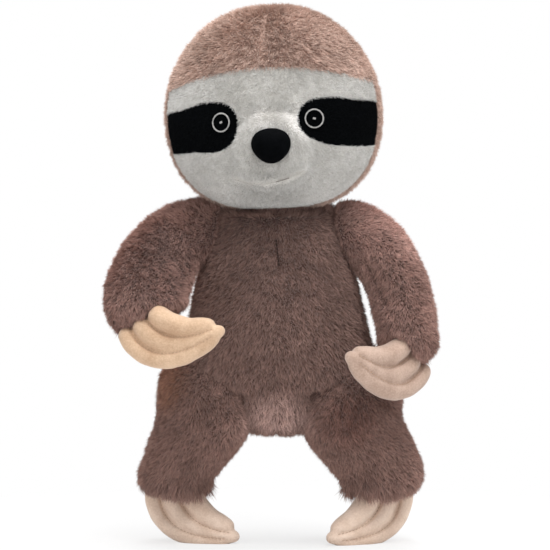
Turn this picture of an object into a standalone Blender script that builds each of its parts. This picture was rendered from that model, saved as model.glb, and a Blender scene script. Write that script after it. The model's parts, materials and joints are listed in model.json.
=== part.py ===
"""Plush sloth with long cream claws: fur covers over fibre stuffing, sewn together so that the head,
arms, legs, hands and feet flop at their seams. Metres, +Z up, the face looks along -Y."""

import math

import bmesh
import bpy
from mathutils import Matrix, Vector
from mathutils.bvhtree import BVHTree

OBJECT_NAME = "plush_sloth"

# Fabric and clearances
FUR_FABRIC = 0.0020
SEWING_GAP = 0.0003
STUFFING_GAP = 0.0008
CUTTER_OVERRUN = 0.030
FLOOR_CUT = 0.0005

# Torso: heights are above the floor
TORSO_BOTTOM_Z = 0.072
NECKLINE_Z = 0.2130
TORSO_HALF_WIDTH = 0.0645
TORSO_FRONT_DEPTH = 0.0450
TORSO_BACK_DEPTH = 0.0395
CROTCH_HALF_WIDTH = 0.0190

# Neck, whose centre lies a little under the neckline
NECK_RADIUS = 0.0280
NECK_CENTRE_Y = 0.0030
NECK_DROP = 0.0080
NECK_PLAY = 0.0006

# Head, whose centre rises over the neckline
HEAD_HALF_WIDTH = 0.0665
HEAD_HALF_HEIGHT = 0.0645
HEAD_FRONT_DEPTH = 0.0520
HEAD_BACK_DEPTH = 0.0540
MUZZLE_BULGE = 0.0075
HEAD_CENTRE_X = -0.0025
HEAD_CENTRE_Y = -0.0040
HEAD_RISE = 0.0700
HEAD_YAW_DEGREES = -4.0
HEAD_ROLL_DEGREES = -2.7
FACE_SEAM_Y = -0.0100
EYE_RING_RADIUS = 0.0058
EYE_THREAD_RADIUS = 0.0007
EYE_DOT_RADIUS = 0.0012
NOSE_HALF_WIDTH = 0.0122
NOSE_HALF_HEIGHT = 0.0114
NOSE_HALF_DEPTH = 0.0100

# Arms, measured from the middle of the shoulder seam
SHOULDER_X = 0.0410
SHOULDER_DROP = 0.0120
SHOULDER_TILT_DEGREES = 12.0
ARM_REACH_OUT = {"left": 0.0445, "right": 0.0485}
ARM_REACH_FORWARD = 0.0345
ARM_DROP = {"left": 0.0785, "right": 0.0760}
ARM_HALF_WIDTH = 0.0205
ARM_HALF_DEPTH = 0.0175
ARM_BEND_SWELL = {"left": 0.0, "right": 0.0028}
SHOULDER_SEAT_RADIUS = 0.0225
RIGHT_ARM_SWING_DEGREES = 24.0

# Legs, measured from the middle of the hip axis
HIP_X = 0.0490
HIP_Y = -0.0020
HIP_Z = 0.0900
HIP_RADIUS = 0.0360
LEG_SPLAY = {"left": 0.0240, "right": 0.0205}
LEG_HALF_WIDTH = {"left": 0.0310, "right": 0.0280}
LEG_HALF_DEPTH = 0.0370
ANKLE_Y = 0.0035

# Claw mitts: three claws that curve inward side by side
CLAW_REACH = 0.0470
CLAW_DROP = 0.0290
CLAW_SPACING = 0.0110
CLAW_HALF_WIDTH = 0.0068
CLAW_HALF_THICKNESS = 0.0082
FLEX_DEGREES = 25.0
FOOT_YAW_DEGREES = {"left": 30.0, "right": 16.0}
HAND_YAW_DEGREES = {"left": 40.0, "right": 18.0}
HAND_CURL_DEGREES = {"left": 45.0, "right": 32.0}

# How the forms swell and taper. Torso rings: height, half-width, front depth, back depth
TORSO_RING_SHARES = (
    (0.00, 0.30, 0.26, 0.28),
    (0.05, 0.74, 0.60, 0.66),
    (0.18, 0.96, 0.82, 0.90),
    (0.34, 0.99, 1.02, 1.02),
    (0.54, 0.84, 1.02, 0.98),
    (0.74, 0.76, 0.88, 0.85),
    (0.93, 0.70, 0.74, 0.77),
    (1.10, 0.42, 0.48, 0.56),
)
# Head rings: height, half-width, front depth, back depth, muzzle
HEAD_RING_SHARES = (
    (-1.00, 0.30, 0.34, 0.34, 0.0),
    (-0.90, 0.66, 0.70, 0.66, 0.1),
    (-0.62, 0.93, 0.95, 0.88, 0.6),
    (-0.24, 1.04, 1.02, 1.02, 1.0),
    (0.18, 1.03, 1.03, 1.06, 0.0),
    (0.58, 0.87, 0.88, 0.92, 0.0),
    (0.90, 0.55, 0.54, 0.58, 0.0),
    (1.02, 0.20, 0.20, 0.22, 0.0),
)
# Arm stations: out, forward, down, half-width, half-depth, swell
ARM_STATION_SHARES = (
    (-0.16, 0.00, -0.02, 1.05, 0.92, 0.0),
    (0.16, 0.04, -0.01, 1.06, 0.98, 0.0),
    (0.58, 0.20, 0.10, 1.04, 1.06, 0.4),
    (0.86, 0.50, 0.42, 1.00, 1.02, 1.0),
    (0.97, 0.80, 0.76, 0.94, 0.94, 1.0),
    (1.00, 1.02, 1.03, 0.82, 0.82, 0.5),
)
# Leg stations: splay, height from the ankle to the hip axis, half-width, half-depth
LEG_STATION_SHARES = (
    (0.02, 1.60, 0.46, 0.38),
    (0.02, 1.44, 0.88, 0.76),
    (0.00, 1.00, 1.00, 1.02),
    (0.38, 0.58, 0.84, 0.76),
    (0.86, 0.24, 0.79, 0.62),
    (1.00, -0.04, 0.73, 0.55),
)
# Claws from the outer one to the inner one: start, bend and tip across, then bend and tip downwards
CLAW_CURVE_SHARES = (
    (-1.0, -0.46, 0.84, 1.24, 0.98),
    (0.0, -0.06, 1.00, 0.90, 0.94),
    (1.0, 0.36, 0.98, 0.58, 0.80),
)
# Claw stations: along the curve, half-width, half-thickness
CLAW_STATION_SHARES = (
    (0.00, 0.92, 1.00),
    (0.40, 1.06, 1.08),
    (0.80, 0.92, 0.96),
    (1.00, 0.32, 0.38),
)
# The face's seams and features, across by the head's half-width and up by its half-height
HOOD_EDGE_SHARES = (0.411, 0.186)
PATCH_CENTRE_SHARES = (0.647, -0.155)
PATCH_HALF_SIZE_SHARES = (0.361, 0.248)
EYE_SHARES = (0.439, -0.112)
NOSE_SHARES = (0.030, -0.360)
# The eye patch outline from its inner end, over the top to the side and back below
PATCH_OUTLINE_SHARES = (
    (-1.00, 0.32),
    (-0.78, 0.82),
    (-0.22, 1.00),
    (0.36, 0.90),
    (1.20, 0.62),
    (1.20, -0.76),
    (0.30, -0.98),
    (-0.30, -0.88),
    (-0.78, -0.34),
)
NOSE_TAPER_SHARE = 0.30
# What one smoothing step keeps of a ring's radius, and what it keeps times the cosine of the ring's step
SMOOTHED_RING_SHARES = (0.75, 0.25)

TORSO_SIDES = 10
HEAD_SIDES = 10
LIMB_SIDES = 6
CLAW_SIDES = 5
EDGE_STEPS = 10
ROUND_SIDES = 32
BALL_SIDES = 14
NECK_SIDES = 24
OUTLINE_STEPS = 3
THREAD_RING_SIDES = 24
THREAD_SIDES = 6

COLOURS = {
    "fur": ((0.200, 0.133, 0.113), 0.95),
    "hood fur": ((0.350, 0.225, 0.185), 0.95),
    "face plush": ((0.690, 0.660, 0.630), 0.95),
    "patch plush": ((0.008, 0.008, 0.010), 0.90),
    "nose velour": ((0.006, 0.006, 0.007), 0.80),
    "claw velour": ((0.760, 0.560, 0.400), 0.85),
    "eye thread": ((0.800, 0.800, 0.780), 0.60),
    "fibre": ((0.850, 0.850, 0.830), 0.95),
}
SIDES = {"left": 1, "right": -1}


def clear_scene():
    for old in list(bpy.data.objects):
        bpy.data.objects.remove(old, do_unlink=True)


def new_collection(name):
    collection = bpy.data.collections.new(name)
    bpy.context.scene.collection.children.link(collection)
    return collection


def make_materials():
    materials = {}
    for name, (colour, roughness) in COLOURS.items():
        material = bpy.data.materials.new(name)
        material.use_nodes = True
        shader = material.node_tree.nodes["Principled BSDF"]
        shader.inputs["Base Color"].default_value = (*colour, 1.0)
        shader.inputs["Roughness"].default_value = roughness
        shader.inputs["Metallic"].default_value = 0.0
        materials[name] = material
    return materials


clear_scene()
PARTS = new_collection(OBJECT_NAME)
CUTTERS = new_collection(OBJECT_NAME + "_cutters")
MATERIALS = make_materials()
FRAMES = {}


def make_frame(name, matrix, parent=None):
    """An empty at a joint, placed in the toy's own frame."""
    frame = bpy.data.objects.new(name, None)
    frame.empty_display_size = SHOULDER_X
    PARTS.objects.link(frame)
    frame.parent = parent
    inside = FRAMES[parent.name].inverted() if parent else Matrix()
    frame.matrix_basis = inside @ matrix
    FRAMES[name] = matrix.copy()
    return frame


def place(thing, frame, matrix):
    """Hangs an object on a joint's empty, at a place in the toy's own frame."""
    thing.parent = frame
    thing.matrix_basis = FRAMES[frame.name].inverted() @ matrix
    return thing


def as_part(thing, material, frame, matrix):
    PARTS.objects.link(thing)
    thing.data.materials.clear()
    thing.data.materials.append(MATERIALS[material])
    thing.data.shade_smooth()
    return place(thing, frame, matrix)


def as_cutter(thing, frame, matrix):
    CUTTERS.objects.link(thing)
    thing.hide_render = True
    thing.display_type = "WIRE"
    return place(thing, frame, matrix)


def mesh_object(name, bm):
    bmesh.ops.recalc_face_normals(bm, faces=bm.faces)
    mesh = bpy.data.meshes.new(name)
    bm.to_mesh(mesh)
    bm.free()
    return bpy.data.objects.new(name, mesh)


def smoothed_ring_share(sides):
    """What one step of subdivision leaves of the radius of a ring with so many sides."""
    kept, by_angle = SMOOTHED_RING_SHARES
    return kept + by_angle * math.cos(2 * math.pi / sides)


def cage_object(name, rings, sides, grow=1):
    """A closed coarse cage through rings of (centre, across, front, back)."""
    bm = bmesh.new()
    loops = []
    for centre, across, front, back in rings:
        loop = []
        for step in range(sides):
            angle = 2 * math.pi * step / sides
            depth = front if math.sin(angle) > 0 else back
            offset = across * math.cos(angle) + depth * abs(math.sin(angle))
            loop.append(bm.verts.new(centre + offset * grow))
        loops.append(loop)
    for low, high in zip(loops, loops[1:]):
        for step in range(sides):
            after = (step + 1) % sides
            bm.faces.new((low[step], low[after], high[after], high[step]))
    bm.faces.new(loops[0])
    bm.faces.new(loops[-1])
    return mesh_object(name, bm)


def soft_form(name, rings, sides):
    """A cage made round, which comes out as wide and deep as its rings say."""
    thing = cage_object(name, rings, sides, 1 / smoothed_ring_share(sides))
    modifier = thing.modifiers.new("Soft form", "SUBSURF")
    modifier.levels = 1
    modifier.render_levels = 1
    return thing


def shell(thing, thickness):
    """Fabric of one thickness, lying inside the form."""
    modifier = thing.modifiers.new("Fabric", "SOLIDIFY")
    modifier.thickness = thickness
    modifier.offset = -1.0
    return thing


def shrink(thing, distance):
    """Moves a form's surface inward by a distance, or outward if it is negative."""
    modifier = thing.modifiers.new("Inside", "DISPLACE")
    modifier.mid_level = 0.0
    modifier.strength = -distance
    return thing


def stuffing_form(name, rings, sides):
    """What fills a cover: the same form, drawn in by the fabric and a little more."""
    return shrink(soft_form(name, rings, sides), FUR_FABRIC + STUFFING_GAP)


def cut(thing, *cutters):
    for cutter in cutters:
        modifier = thing.modifiers.new(cutter.name, "BOOLEAN")
        modifier.operation = "DIFFERENCE"
        modifier.solver = "EXACT"
        modifier.object = cutter
    return thing


def keep_inside(thing, envelope):
    modifier = thing.modifiers.new(envelope.name, "BOOLEAN")
    modifier.operation = "INTERSECT"
    modifier.solver = "EXACT"
    modifier.object = envelope
    return thing


def join(thing, other):
    modifier = thing.modifiers.new(other.name, "BOOLEAN")
    modifier.operation = "UNION"
    modifier.solver = "EXACT"
    modifier.object = other
    return thing


def outline_object(name, points, half_depth, smooth):
    """A flat outline in X and Y, thickened along Z and made a mesh."""
    curve = bpy.data.curves.new(name, "CURVE")
    curve.dimensions = "2D"
    curve.fill_mode = "BOTH"
    curve.extrude = half_depth
    curve.resolution_u = OUTLINE_STEPS
    spline = curve.splines.new("BEZIER" if smooth else "POLY")
    if smooth:
        spline.bezier_points.add(len(points) - 1)
        for bezier, (x, y) in zip(spline.bezier_points, points):
            bezier.co = (x, y, 0)
            bezier.handle_left_type = "AUTO"
            bezier.handle_right_type = "AUTO"
    else:
        spline.points.add(len(points) - 1)
        for point, (x, y) in zip(spline.points, points):
            point.co = (x, y, 0, 1)
    spline.use_cyclic_u = True
    flat = bpy.data.objects.new(name + "_outline", curve)
    CUTTERS.objects.link(flat)
    graph = bpy.context.evaluated_depsgraph_get()
    mesh = bpy.data.meshes.new_from_object(flat.evaluated_get(graph))
    bpy.data.objects.remove(flat, do_unlink=True)
    bpy.data.curves.remove(curve)
    bm = bmesh.new()
    bm.from_mesh(mesh)
    bpy.data.meshes.remove(mesh)
    bmesh.ops.remove_doubles(bm, verts=bm.verts, dist=SEWING_GAP / 10)
    return mesh_object(name, bm)


def cylinder_object(name, radius, length):
    """A cylinder along X, centred on its own origin."""
    bm = bmesh.new()
    turn = Matrix.Rotation(math.pi / 2, 4, "Y")
    bmesh.ops.create_cone(
        bm, cap_ends=True, segments=ROUND_SIDES, radius1=radius, radius2=radius, depth=length, matrix=turn
    )
    return mesh_object(name, bm)


def ball_object(name, radius, sides=BALL_SIDES):
    bm = bmesh.new()
    bmesh.ops.create_uvsphere(bm, u_segments=sides, v_segments=sides // 2, radius=radius)
    return mesh_object(name, bm)


def block_object(name, size, centre):
    bm = bmesh.new()
    scale = Matrix.Diagonal((*size, 1))
    bmesh.ops.create_cube(bm, size=1.0, matrix=Matrix.Translation(centre) @ scale)
    return mesh_object(name, bm)


def hinge_envelope(name, radius, low_x, high_x, drop):
    """Rounded above the X axis of its hinge and free below it, between two flat sides."""
    points = []
    for step in range(ROUND_SIDES // 2 + 1):
        angle = 2 * math.pi * step / ROUND_SIDES
        points.append((radius * math.cos(angle), radius * math.sin(angle)))
    points += [(-radius, -drop), (radius, -drop)]
    envelope = outline_object(name, points, (high_x - low_x) / 2, smooth=False)
    turn = Matrix(((0, 0, 1, 0), (1, 0, 0, 0), (0, 1, 0, 0), (0, 0, 0, 1)))
    envelope.data.transform(Matrix.Translation(((low_x + high_x) / 2, 0, 0)) @ turn)
    return envelope


def turned(axis, degrees):
    return Matrix.Rotation(math.radians(degrees), 4, axis)


def torso_rings():
    height = NECKLINE_Z - TORSO_BOTTOM_Z
    rings = []
    for up, wide, front, back in TORSO_RING_SHARES:
        centre = Vector((0, 0, TORSO_BOTTOM_Z + up * height))
        across = Vector((wide * TORSO_HALF_WIDTH, 0, 0))
        forward = Vector((0, -front * TORSO_FRONT_DEPTH, 0))
        backward = Vector((0, back * TORSO_BACK_DEPTH, 0))
        rings.append((centre, across, forward, backward))
    return rings


def head_rings():
    rings = []
    for up, wide, front, back, muzzle in HEAD_RING_SHARES:
        depth = front * HEAD_FRONT_DEPTH + muzzle * MUZZLE_BULGE
        centre = Vector((0, 0, up * HEAD_HALF_HEIGHT))
        across = Vector((wide * HEAD_HALF_WIDTH, 0, 0))
        rings.append((centre, across, Vector((0, -depth, 0)), Vector((0, back * HEAD_BACK_DEPTH, 0))))
    return rings


def tube_rings(points, half_widths, half_depths):
    """Rings along a route, each square to it, as wide as told beside the route and as deep before it."""
    rings = []
    for index, point in enumerate(points):
        before = points[max(index - 1, 0)]
        after = points[min(index + 1, len(points) - 1)]
        along = (after - before).normalized()
        across = along.cross(Vector((0, 1, 0))).normalized()
        depth = across.cross(along).normalized()
        front = depth * half_depths[index]
        rings.append((point, across * half_widths[index], front, -front))
    return rings


def shoulder_axis(sign):
    tilt = math.radians(SHOULDER_TILT_DEGREES)
    return Vector((sign * math.cos(tilt), 0, math.sin(tilt)))


def shoulder_centre(sign):
    return Vector((sign * SHOULDER_X, 0, NECKLINE_Z - SHOULDER_DROP))


def shoulder_matrix(sign):
    """X runs out of the body, square to the arm's seam."""
    facing = Vector((1, 0, 0)).rotation_difference(shoulder_axis(sign)).to_matrix().to_4x4()
    return Matrix.Translation(shoulder_centre(sign)) @ facing


def arm_swing(side):
    """How far an arm is swung forward from where the other one hangs."""
    if side == "left":
        return Matrix()
    return Matrix.Rotation(math.radians(RIGHT_ARM_SWING_DEGREES), 4, shoulder_axis(SIDES[side]))


def arm_route(side):
    sign = SIDES[side]
    swing = arm_swing(side)
    points = []
    for out, forward, down, *_ in ARM_STATION_SHARES:
        across = sign * out * ARM_REACH_OUT[side]
        offset = Vector((across, -forward * ARM_REACH_FORWARD, -down * ARM_DROP[side]))
        points.append(shoulder_centre(sign) + swing @ offset)
    return points


def arm_rings(side):
    """The bent arm swells where its stuffing is pushed aside."""
    widths = [
        wide * ARM_HALF_WIDTH + swell * ARM_BEND_SWELL[side]
        for _, _, _, wide, _, swell in ARM_STATION_SHARES
    ]
    depths = [share[4] * ARM_HALF_DEPTH for share in ARM_STATION_SHARES]
    return tube_rings(arm_route(side), widths, depths)


def sole_depth():
    """How far the outer claw reaches below a mitt's hinge."""
    claw = claw_object("sole_gauge", 1, CLAW_CURVE_SHARES[0])
    CUTTERS.objects.link(claw)
    graph = bpy.context.evaluated_depsgraph_get()
    depth = -min(vertex.co.z for vertex in claw.evaluated_get(graph).data.vertices)
    bpy.data.objects.remove(claw, do_unlink=True)
    return depth


def ankle_height():
    return SOLE_DEPTH - FLOOR_CUT


def hinge_offset():
    """How far a mitt's hinge lies beyond the limb's end, so that it flexes without touching."""
    return CLAW_HALF_THICKNESS * math.sin(math.radians(FLEX_DEGREES))


def leg_route(side):
    sign = SIDES[side]
    rise = HIP_Z - ankle_height()
    points = []
    for splay, up, _, _ in LEG_STATION_SHARES:
        x = sign * (HIP_X + splay * LEG_SPLAY[side])
        y = HIP_Y + (ANKLE_Y - HIP_Y) * (1 - up)
        points.append(Vector((x, y, ankle_height() + up * rise)))
    return points


def mitt_matrix(side, place_at, curl_degrees, yaw_degrees):
    """X runs inward along the hinge and Z up the limb; a right mitt is the left one mirrored."""
    sign = SIDES[side]
    mirror = Matrix.Diagonal((-sign, 1, 1, 1))
    turn = turned("Z", -yaw_degrees) @ turned("Y", -curl_degrees)
    return Matrix.Translation(place_at) @ mirror @ turn @ mirror


def claw_object(name, sign, shares):
    """One claw: a tube that starts down the limb and curves inward."""
    start, bend, tip, bend_down, tip_down = shares
    inward = -sign
    root = Vector((inward * start * CLAW_SPACING, 0, CLAW_HALF_THICKNESS))
    middle = Vector((inward * bend * CLAW_REACH, 0, -bend_down * CLAW_DROP))
    end = Vector((inward * tip * CLAW_REACH, 0, -tip_down * CLAW_DROP))
    points = []
    for t, _, _ in CLAW_STATION_SHARES:
        points.append(root * (1 - t) ** 2 + middle * 2 * t * (1 - t) + end * t**2)
    widths = [wide * CLAW_HALF_WIDTH for _, wide, _ in CLAW_STATION_SHARES]
    depths = [deep * CLAW_HALF_THICKNESS for _, _, deep in CLAW_STATION_SHARES]
    return soft_form(name, tube_rings(points, widths, depths), CLAW_SIDES)


def claw_mitt(name, side, frame):
    """Three claws sewn into one mitt, with a root that is round about its hinge."""
    sign = SIDES[side]
    matrix = FRAMES[frame.name]
    outer, middle, inner = (
        claw_object(f"{name}_{where}", sign, shares)
        for where, shares in zip(("outer", "middle", "inner"), CLAW_CURVE_SHARES)
    )
    for claw in (outer, inner):
        as_cutter(claw, frame, matrix)
    middle.name = name
    join(middle, outer)
    join(middle, inner)
    half = CLAW_REACH + CUTTER_OVERRUN
    drop = CLAW_DROP + CUTTER_OVERRUN
    envelope = hinge_envelope(name + "_root", CLAW_HALF_THICKNESS, -half, half, drop)
    as_cutter(envelope, frame, matrix)
    keep_inside(middle, envelope)
    return as_part(middle, "claw velour", frame, matrix)


def limb_end_cutters(name, frame):
    """The flat end of a limb and the groove in it that takes the mitt's root."""
    matrix = FRAMES[frame.name]
    size = CLAW_REACH + CUTTER_OVERRUN
    end = block_object(name + "_end", (2 * size, 2 * size, size), (0, 0, hinge_offset() - size / 2))
    groove = cylinder_object(name + "_groove", CLAW_HALF_THICKNESS + SEWING_GAP, 2 * size)
    return as_cutter(end, frame, matrix), as_cutter(groove, frame, matrix)


def covered_form(name, rings, sides, frame, matrix, material):
    """A fur cover and the stuffing inside it, from the same cage."""
    cover = shell(soft_form(f"{name[0]}_cover{name[1]}", rings, sides), FUR_FABRIC)
    stuffing = stuffing_form(f"{name[0]}_stuffing{name[1]}", rings, sides)
    as_part(cover, material, frame, matrix)
    as_part(stuffing, "fibre", frame, matrix)
    return cover, stuffing


def make_torso(root):
    pieces = covered_form(("torso", ""), torso_rings(), TORSO_SIDES, root, Matrix(), "fur")
    size = 2 * (TORSO_HALF_WIDTH + CUTTER_OVERRUN)
    neckline = block_object("neckline", (size, size, size), (0, 0, NECKLINE_Z + size / 2))
    cutters = [as_cutter(neckline, root, Matrix())]
    for side, sign in SIDES.items():
        seat = cylinder_object("shoulder_seat_" + side, SHOULDER_SEAT_RADIUS + SEWING_GAP, CUTTER_OVERRUN)
        seat.data.transform(Matrix.Translation((CUTTER_OVERRUN / 2, 0, 0)))
        cutters.append(as_cutter(seat, root, shoulder_matrix(sign)))
        socket = cylinder_object("hip_socket_" + side, HIP_RADIUS + SEWING_GAP, size)
        centre = Vector((sign * (CROTCH_HALF_WIDTH + size / 2), HIP_Y, HIP_Z))
        cutters.append(as_cutter(socket, root, Matrix.Translation(centre)))
    for piece in pieces:
        cut(piece, *cutters)


def make_arm(side, frame, wrist):
    sign = SIDES[side]
    pieces = covered_form(("arm", "_" + side), arm_rings(side), LIMB_SIDES, frame, Matrix(), "fur")
    size = 2 * (ARM_HALF_WIDTH + CUTTER_OVERRUN)
    seam = block_object("shoulder_seam_" + side, (size, size, size), (SEWING_GAP - size / 2, 0, 0))
    as_cutter(seam, frame, shoulder_matrix(sign))
    for piece in pieces:
        cut(piece, seam, *limb_end_cutters("wrist_" + piece.name, wrist))
    claw_mitt("hand_claws_" + side, side, wrist)


def make_leg(side, frame, ankle):
    sign = SIDES[side]
    widths = [share[2] * LEG_HALF_WIDTH[side] for share in LEG_STATION_SHARES]
    depths = [share[3] * LEG_HALF_DEPTH for share in LEG_STATION_SHARES]
    rings = tube_rings(leg_route(side), widths, depths)
    pieces = covered_form(("leg", "_" + side), rings, LIMB_SIDES, frame, Matrix(), "fur")
    inner = CROTCH_HALF_WIDTH + SEWING_GAP
    outer = HIP_X + LEG_SPLAY[side] + LEG_HALF_WIDTH[side] + CUTTER_OVERRUN
    low, high = sorted((sign * inner, sign * outer))
    envelope = hinge_envelope("hip_" + side, HIP_RADIUS, low, high, HIP_Z + CUTTER_OVERRUN)
    as_cutter(envelope, frame, Matrix.Translation((0, HIP_Y, HIP_Z)))
    for piece in pieces:
        keep_inside(piece, envelope)
        cut(piece, *limb_end_cutters("ankle_" + piece.name, ankle))
    foot = claw_mitt("foot_claws_" + side, side, ankle)
    reach = 2 * (LEG_HALF_WIDTH[side] + CLAW_REACH + CUTTER_OVERRUN)
    floor = block_object("floor_" + side, (reach, reach, reach), (0, 0, -reach / 2))
    under = Vector((sign * (HIP_X + LEG_SPLAY[side]), ANKLE_Y, 0))
    cut(foot, as_cutter(floor, frame, Matrix.Translation(under)))


def front_point(form, spot):
    """Where a line from the front meets a form, with the surface's direction there."""
    graph = bpy.context.evaluated_depsgraph_get()
    tree = BVHTree.FromObject(form, graph)
    start = Vector((spot[0], -2 * (HEAD_FRONT_DEPTH + MUZZLE_BULGE), spot[1]))
    point, normal, _, _ = tree.ray_cast(start, Vector((0, 1, 0)))
    return point, normal


def grown_outline(points, distance):
    """A closed outline moved outward by a distance."""
    moved = []
    count = len(points)
    area = sum(
        points[i][0] * points[(i + 1) % count][1] - points[(i + 1) % count][0] * points[i][1]
        for i in range(count)
    )
    outward = 1 if area > 0 else -1
    for index, (x, y) in enumerate(points):
        before = Vector(points[index - 1])
        after = Vector(points[(index + 1) % count])
        along = (after - before).normalized()
        moved.append((x + outward * along.y * distance, y - outward * along.x * distance))
    return moved


def head_cutter(name, points, head, matrix, smooth):
    """An outline seen from the front, cut from ahead of the head back to the side seams."""
    depth = 2 * (HEAD_FRONT_DEPTH + MUZZLE_BULGE)
    block = outline_object(name, points, depth / 2, smooth)
    upright = turned("X", 90)
    block.data.transform(Matrix.Translation((0, FACE_SEAM_Y - depth / 2, 0)) @ upright)
    return as_cutter(block, head, matrix)


def face_outline():
    """The hood's edge over the forehead, and straight sides past the chin."""
    half = HEAD_HALF_WIDTH + CUTTER_OVERRUN
    height, fall = HOOD_EDGE_SHARES
    points = []
    for step in range(EDGE_STEPS + 1):
        x = half * (1 - 2 * step / EDGE_STEPS)
        points.append((x, HEAD_HALF_HEIGHT * (height - fall * (x / HEAD_HALF_WIDTH) ** 2)))
    points += [(-half, -2 * HEAD_HALF_HEIGHT), (half, -2 * HEAD_HALF_HEIGHT)]
    return points


def face_spot(sign, shares):
    """A place on the face, seen from the front."""
    return sign * shares[0] * HEAD_HALF_WIDTH, shares[1] * HEAD_HALF_HEIGHT


def patch_outline(sign):
    middle, half = PATCH_CENTRE_SHARES, PATCH_HALF_SIZE_SHARES
    points = []
    for across, up in PATCH_OUTLINE_SHARES:
        points.append(face_spot(sign, (middle[0] + across * half[0], middle[1] + up * half[1])))
    return points


def make_head(head, matrix):
    """The hood, the face and the eye patches are panels of one sewn skin."""
    rings = head_rings()
    whole = soft_form("head_form", rings, HEAD_SIDES)
    as_cutter(whole, head, matrix)
    hollow = ball_object("neck_socket", NECK_RADIUS + NECK_PLAY, NECK_SIDES)
    socket = as_cutter(hollow, head, neck_matrix())
    half_gap = SEWING_GAP / 2
    wide_face = head_cutter("face_opening", grown_outline(face_outline(), half_gap), head, matrix, False)
    wide_face.data.transform(Matrix.Translation((0, half_gap, 0)))
    narrow_face = head_cutter("face_edge", grown_outline(face_outline(), -half_gap), head, matrix, False)
    narrow_face.data.transform(Matrix.Translation((0, -half_gap, 0)))

    hood = shell(soft_form("head_hood", rings, HEAD_SIDES), FUR_FABRIC)
    cut(hood, wide_face, socket)
    as_part(hood, "hood fur", head, matrix)

    face = shell(soft_form("face_panel", rings, HEAD_SIDES), FUR_FABRIC)
    for side, sign in SIDES.items():
        outline = patch_outline(sign)
        hole = head_cutter("patch_hole_" + side, grown_outline(outline, half_gap), head, matrix, True)
        edge = head_cutter("patch_edge_" + side, grown_outline(outline, -half_gap), head, matrix, True)
        edge.data.transform(Matrix.Translation((0, -half_gap, 0)))
        cut(face, hole)
        patch = shell(soft_form("eye_patch_" + side, rings, HEAD_SIDES), FUR_FABRIC)
        keep_inside(patch, edge)
        as_part(patch, "patch plush", head, matrix)
    keep_inside(face, narrow_face)
    cut(face, socket)
    as_part(face, "face plush", head, matrix)

    stuffing = stuffing_form("head_stuffing", rings, HEAD_SIDES)
    cut(stuffing, socket)
    as_part(stuffing, "fibre", head, matrix)
    make_eyes(whole, head, matrix)
    make_nose(whole, head, matrix)


def make_eyes(form, head, matrix):
    """An embroidered ring and a highlight on each patch."""
    for side, sign in SIDES.items():
        point, normal = front_point(form, face_spot(sign, EYE_SHARES))
        facing = Vector((0, 0, 1)).rotation_difference(normal).to_matrix().to_4x4()
        lift = EYE_THREAD_RADIUS + 2 * SEWING_GAP
        seat = matrix @ Matrix.Translation(point + normal * lift) @ facing
        bpy.ops.mesh.primitive_torus_add(
            major_radius=EYE_RING_RADIUS,
            minor_radius=EYE_THREAD_RADIUS,
            major_segments=THREAD_RING_SIDES,
            minor_segments=THREAD_SIDES,
        )
        ring = bpy.context.object
        ring.name = "eye_ring_" + side
        ring.data.name = ring.name
        for collection in list(ring.users_collection):
            collection.objects.unlink(ring)
        as_part(ring, "eye thread", head, seat)
        squash = Matrix.Diagonal((1, 1, EYE_THREAD_RADIUS / EYE_DOT_RADIUS, 1))
        dot = ball_object("eye_highlight_" + side, EYE_DOT_RADIUS)
        dot.data.transform(squash)
        as_part(dot, "eye thread", head, matrix @ Matrix.Translation(point + normal * lift) @ facing)


def make_nose(form, head, matrix):
    """A padded nose, broad above and narrow below, cut by the face that it is sewn to."""
    point, _ = front_point(form, face_spot(1, NOSE_SHARES))
    nose = ball_object("nose", 1)
    nose.data.transform(Matrix.Diagonal((NOSE_HALF_WIDTH, NOSE_HALF_DEPTH, NOSE_HALF_HEIGHT, 1)))
    for vertex in nose.data.vertices:
        low = max(-vertex.co.z / NOSE_HALF_HEIGHT, 0)
        vertex.co.x *= 1 - NOSE_TAPER_SHARE * low
    clear = shrink(soft_form("nose_seat", head_rings(), HEAD_SIDES), -SEWING_GAP)
    as_cutter(clear, head, matrix)
    cut(nose, clear)
    as_part(nose, "nose velour", head, matrix @ Matrix.Translation(point))


def neck_matrix():
    return Matrix.Translation((0, NECK_CENTRE_Y, NECKLINE_Z - NECK_DROP))


def make_neck(neck):
    """A dome of stuffing on the neckline, round where the head nods on it."""
    dome = ball_object("neck_stuffing", NECK_RADIUS, NECK_SIDES)
    size = 2 * (NECK_RADIUS + CUTTER_OVERRUN)
    below = block_object("neck_base", (size, size, size), (0, 0, NECKLINE_Z + SEWING_GAP - size / 2))
    as_cutter(below, neck, Matrix())
    cut(dome, below)
    as_part(dome, "fibre", neck, neck_matrix())


def centre_on_origin(root):
    """Stands the toy with the middle of its bounding box over the origin."""
    bpy.context.view_layer.update()
    graph = bpy.context.evaluated_depsgraph_get()
    places = []
    for thing in PARTS.objects:
        if thing.type == "MESH":
            shown = thing.evaluated_get(graph)
            places += [shown.matrix_world @ vertex.co for vertex in shown.data.vertices]
    for axis in (0, 1):
        values = [point[axis] for point in places]
        root.location[axis] = -(min(values) + max(values)) / 2
    bpy.context.view_layer.update()


SOLE_DEPTH = sole_depth()


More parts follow.
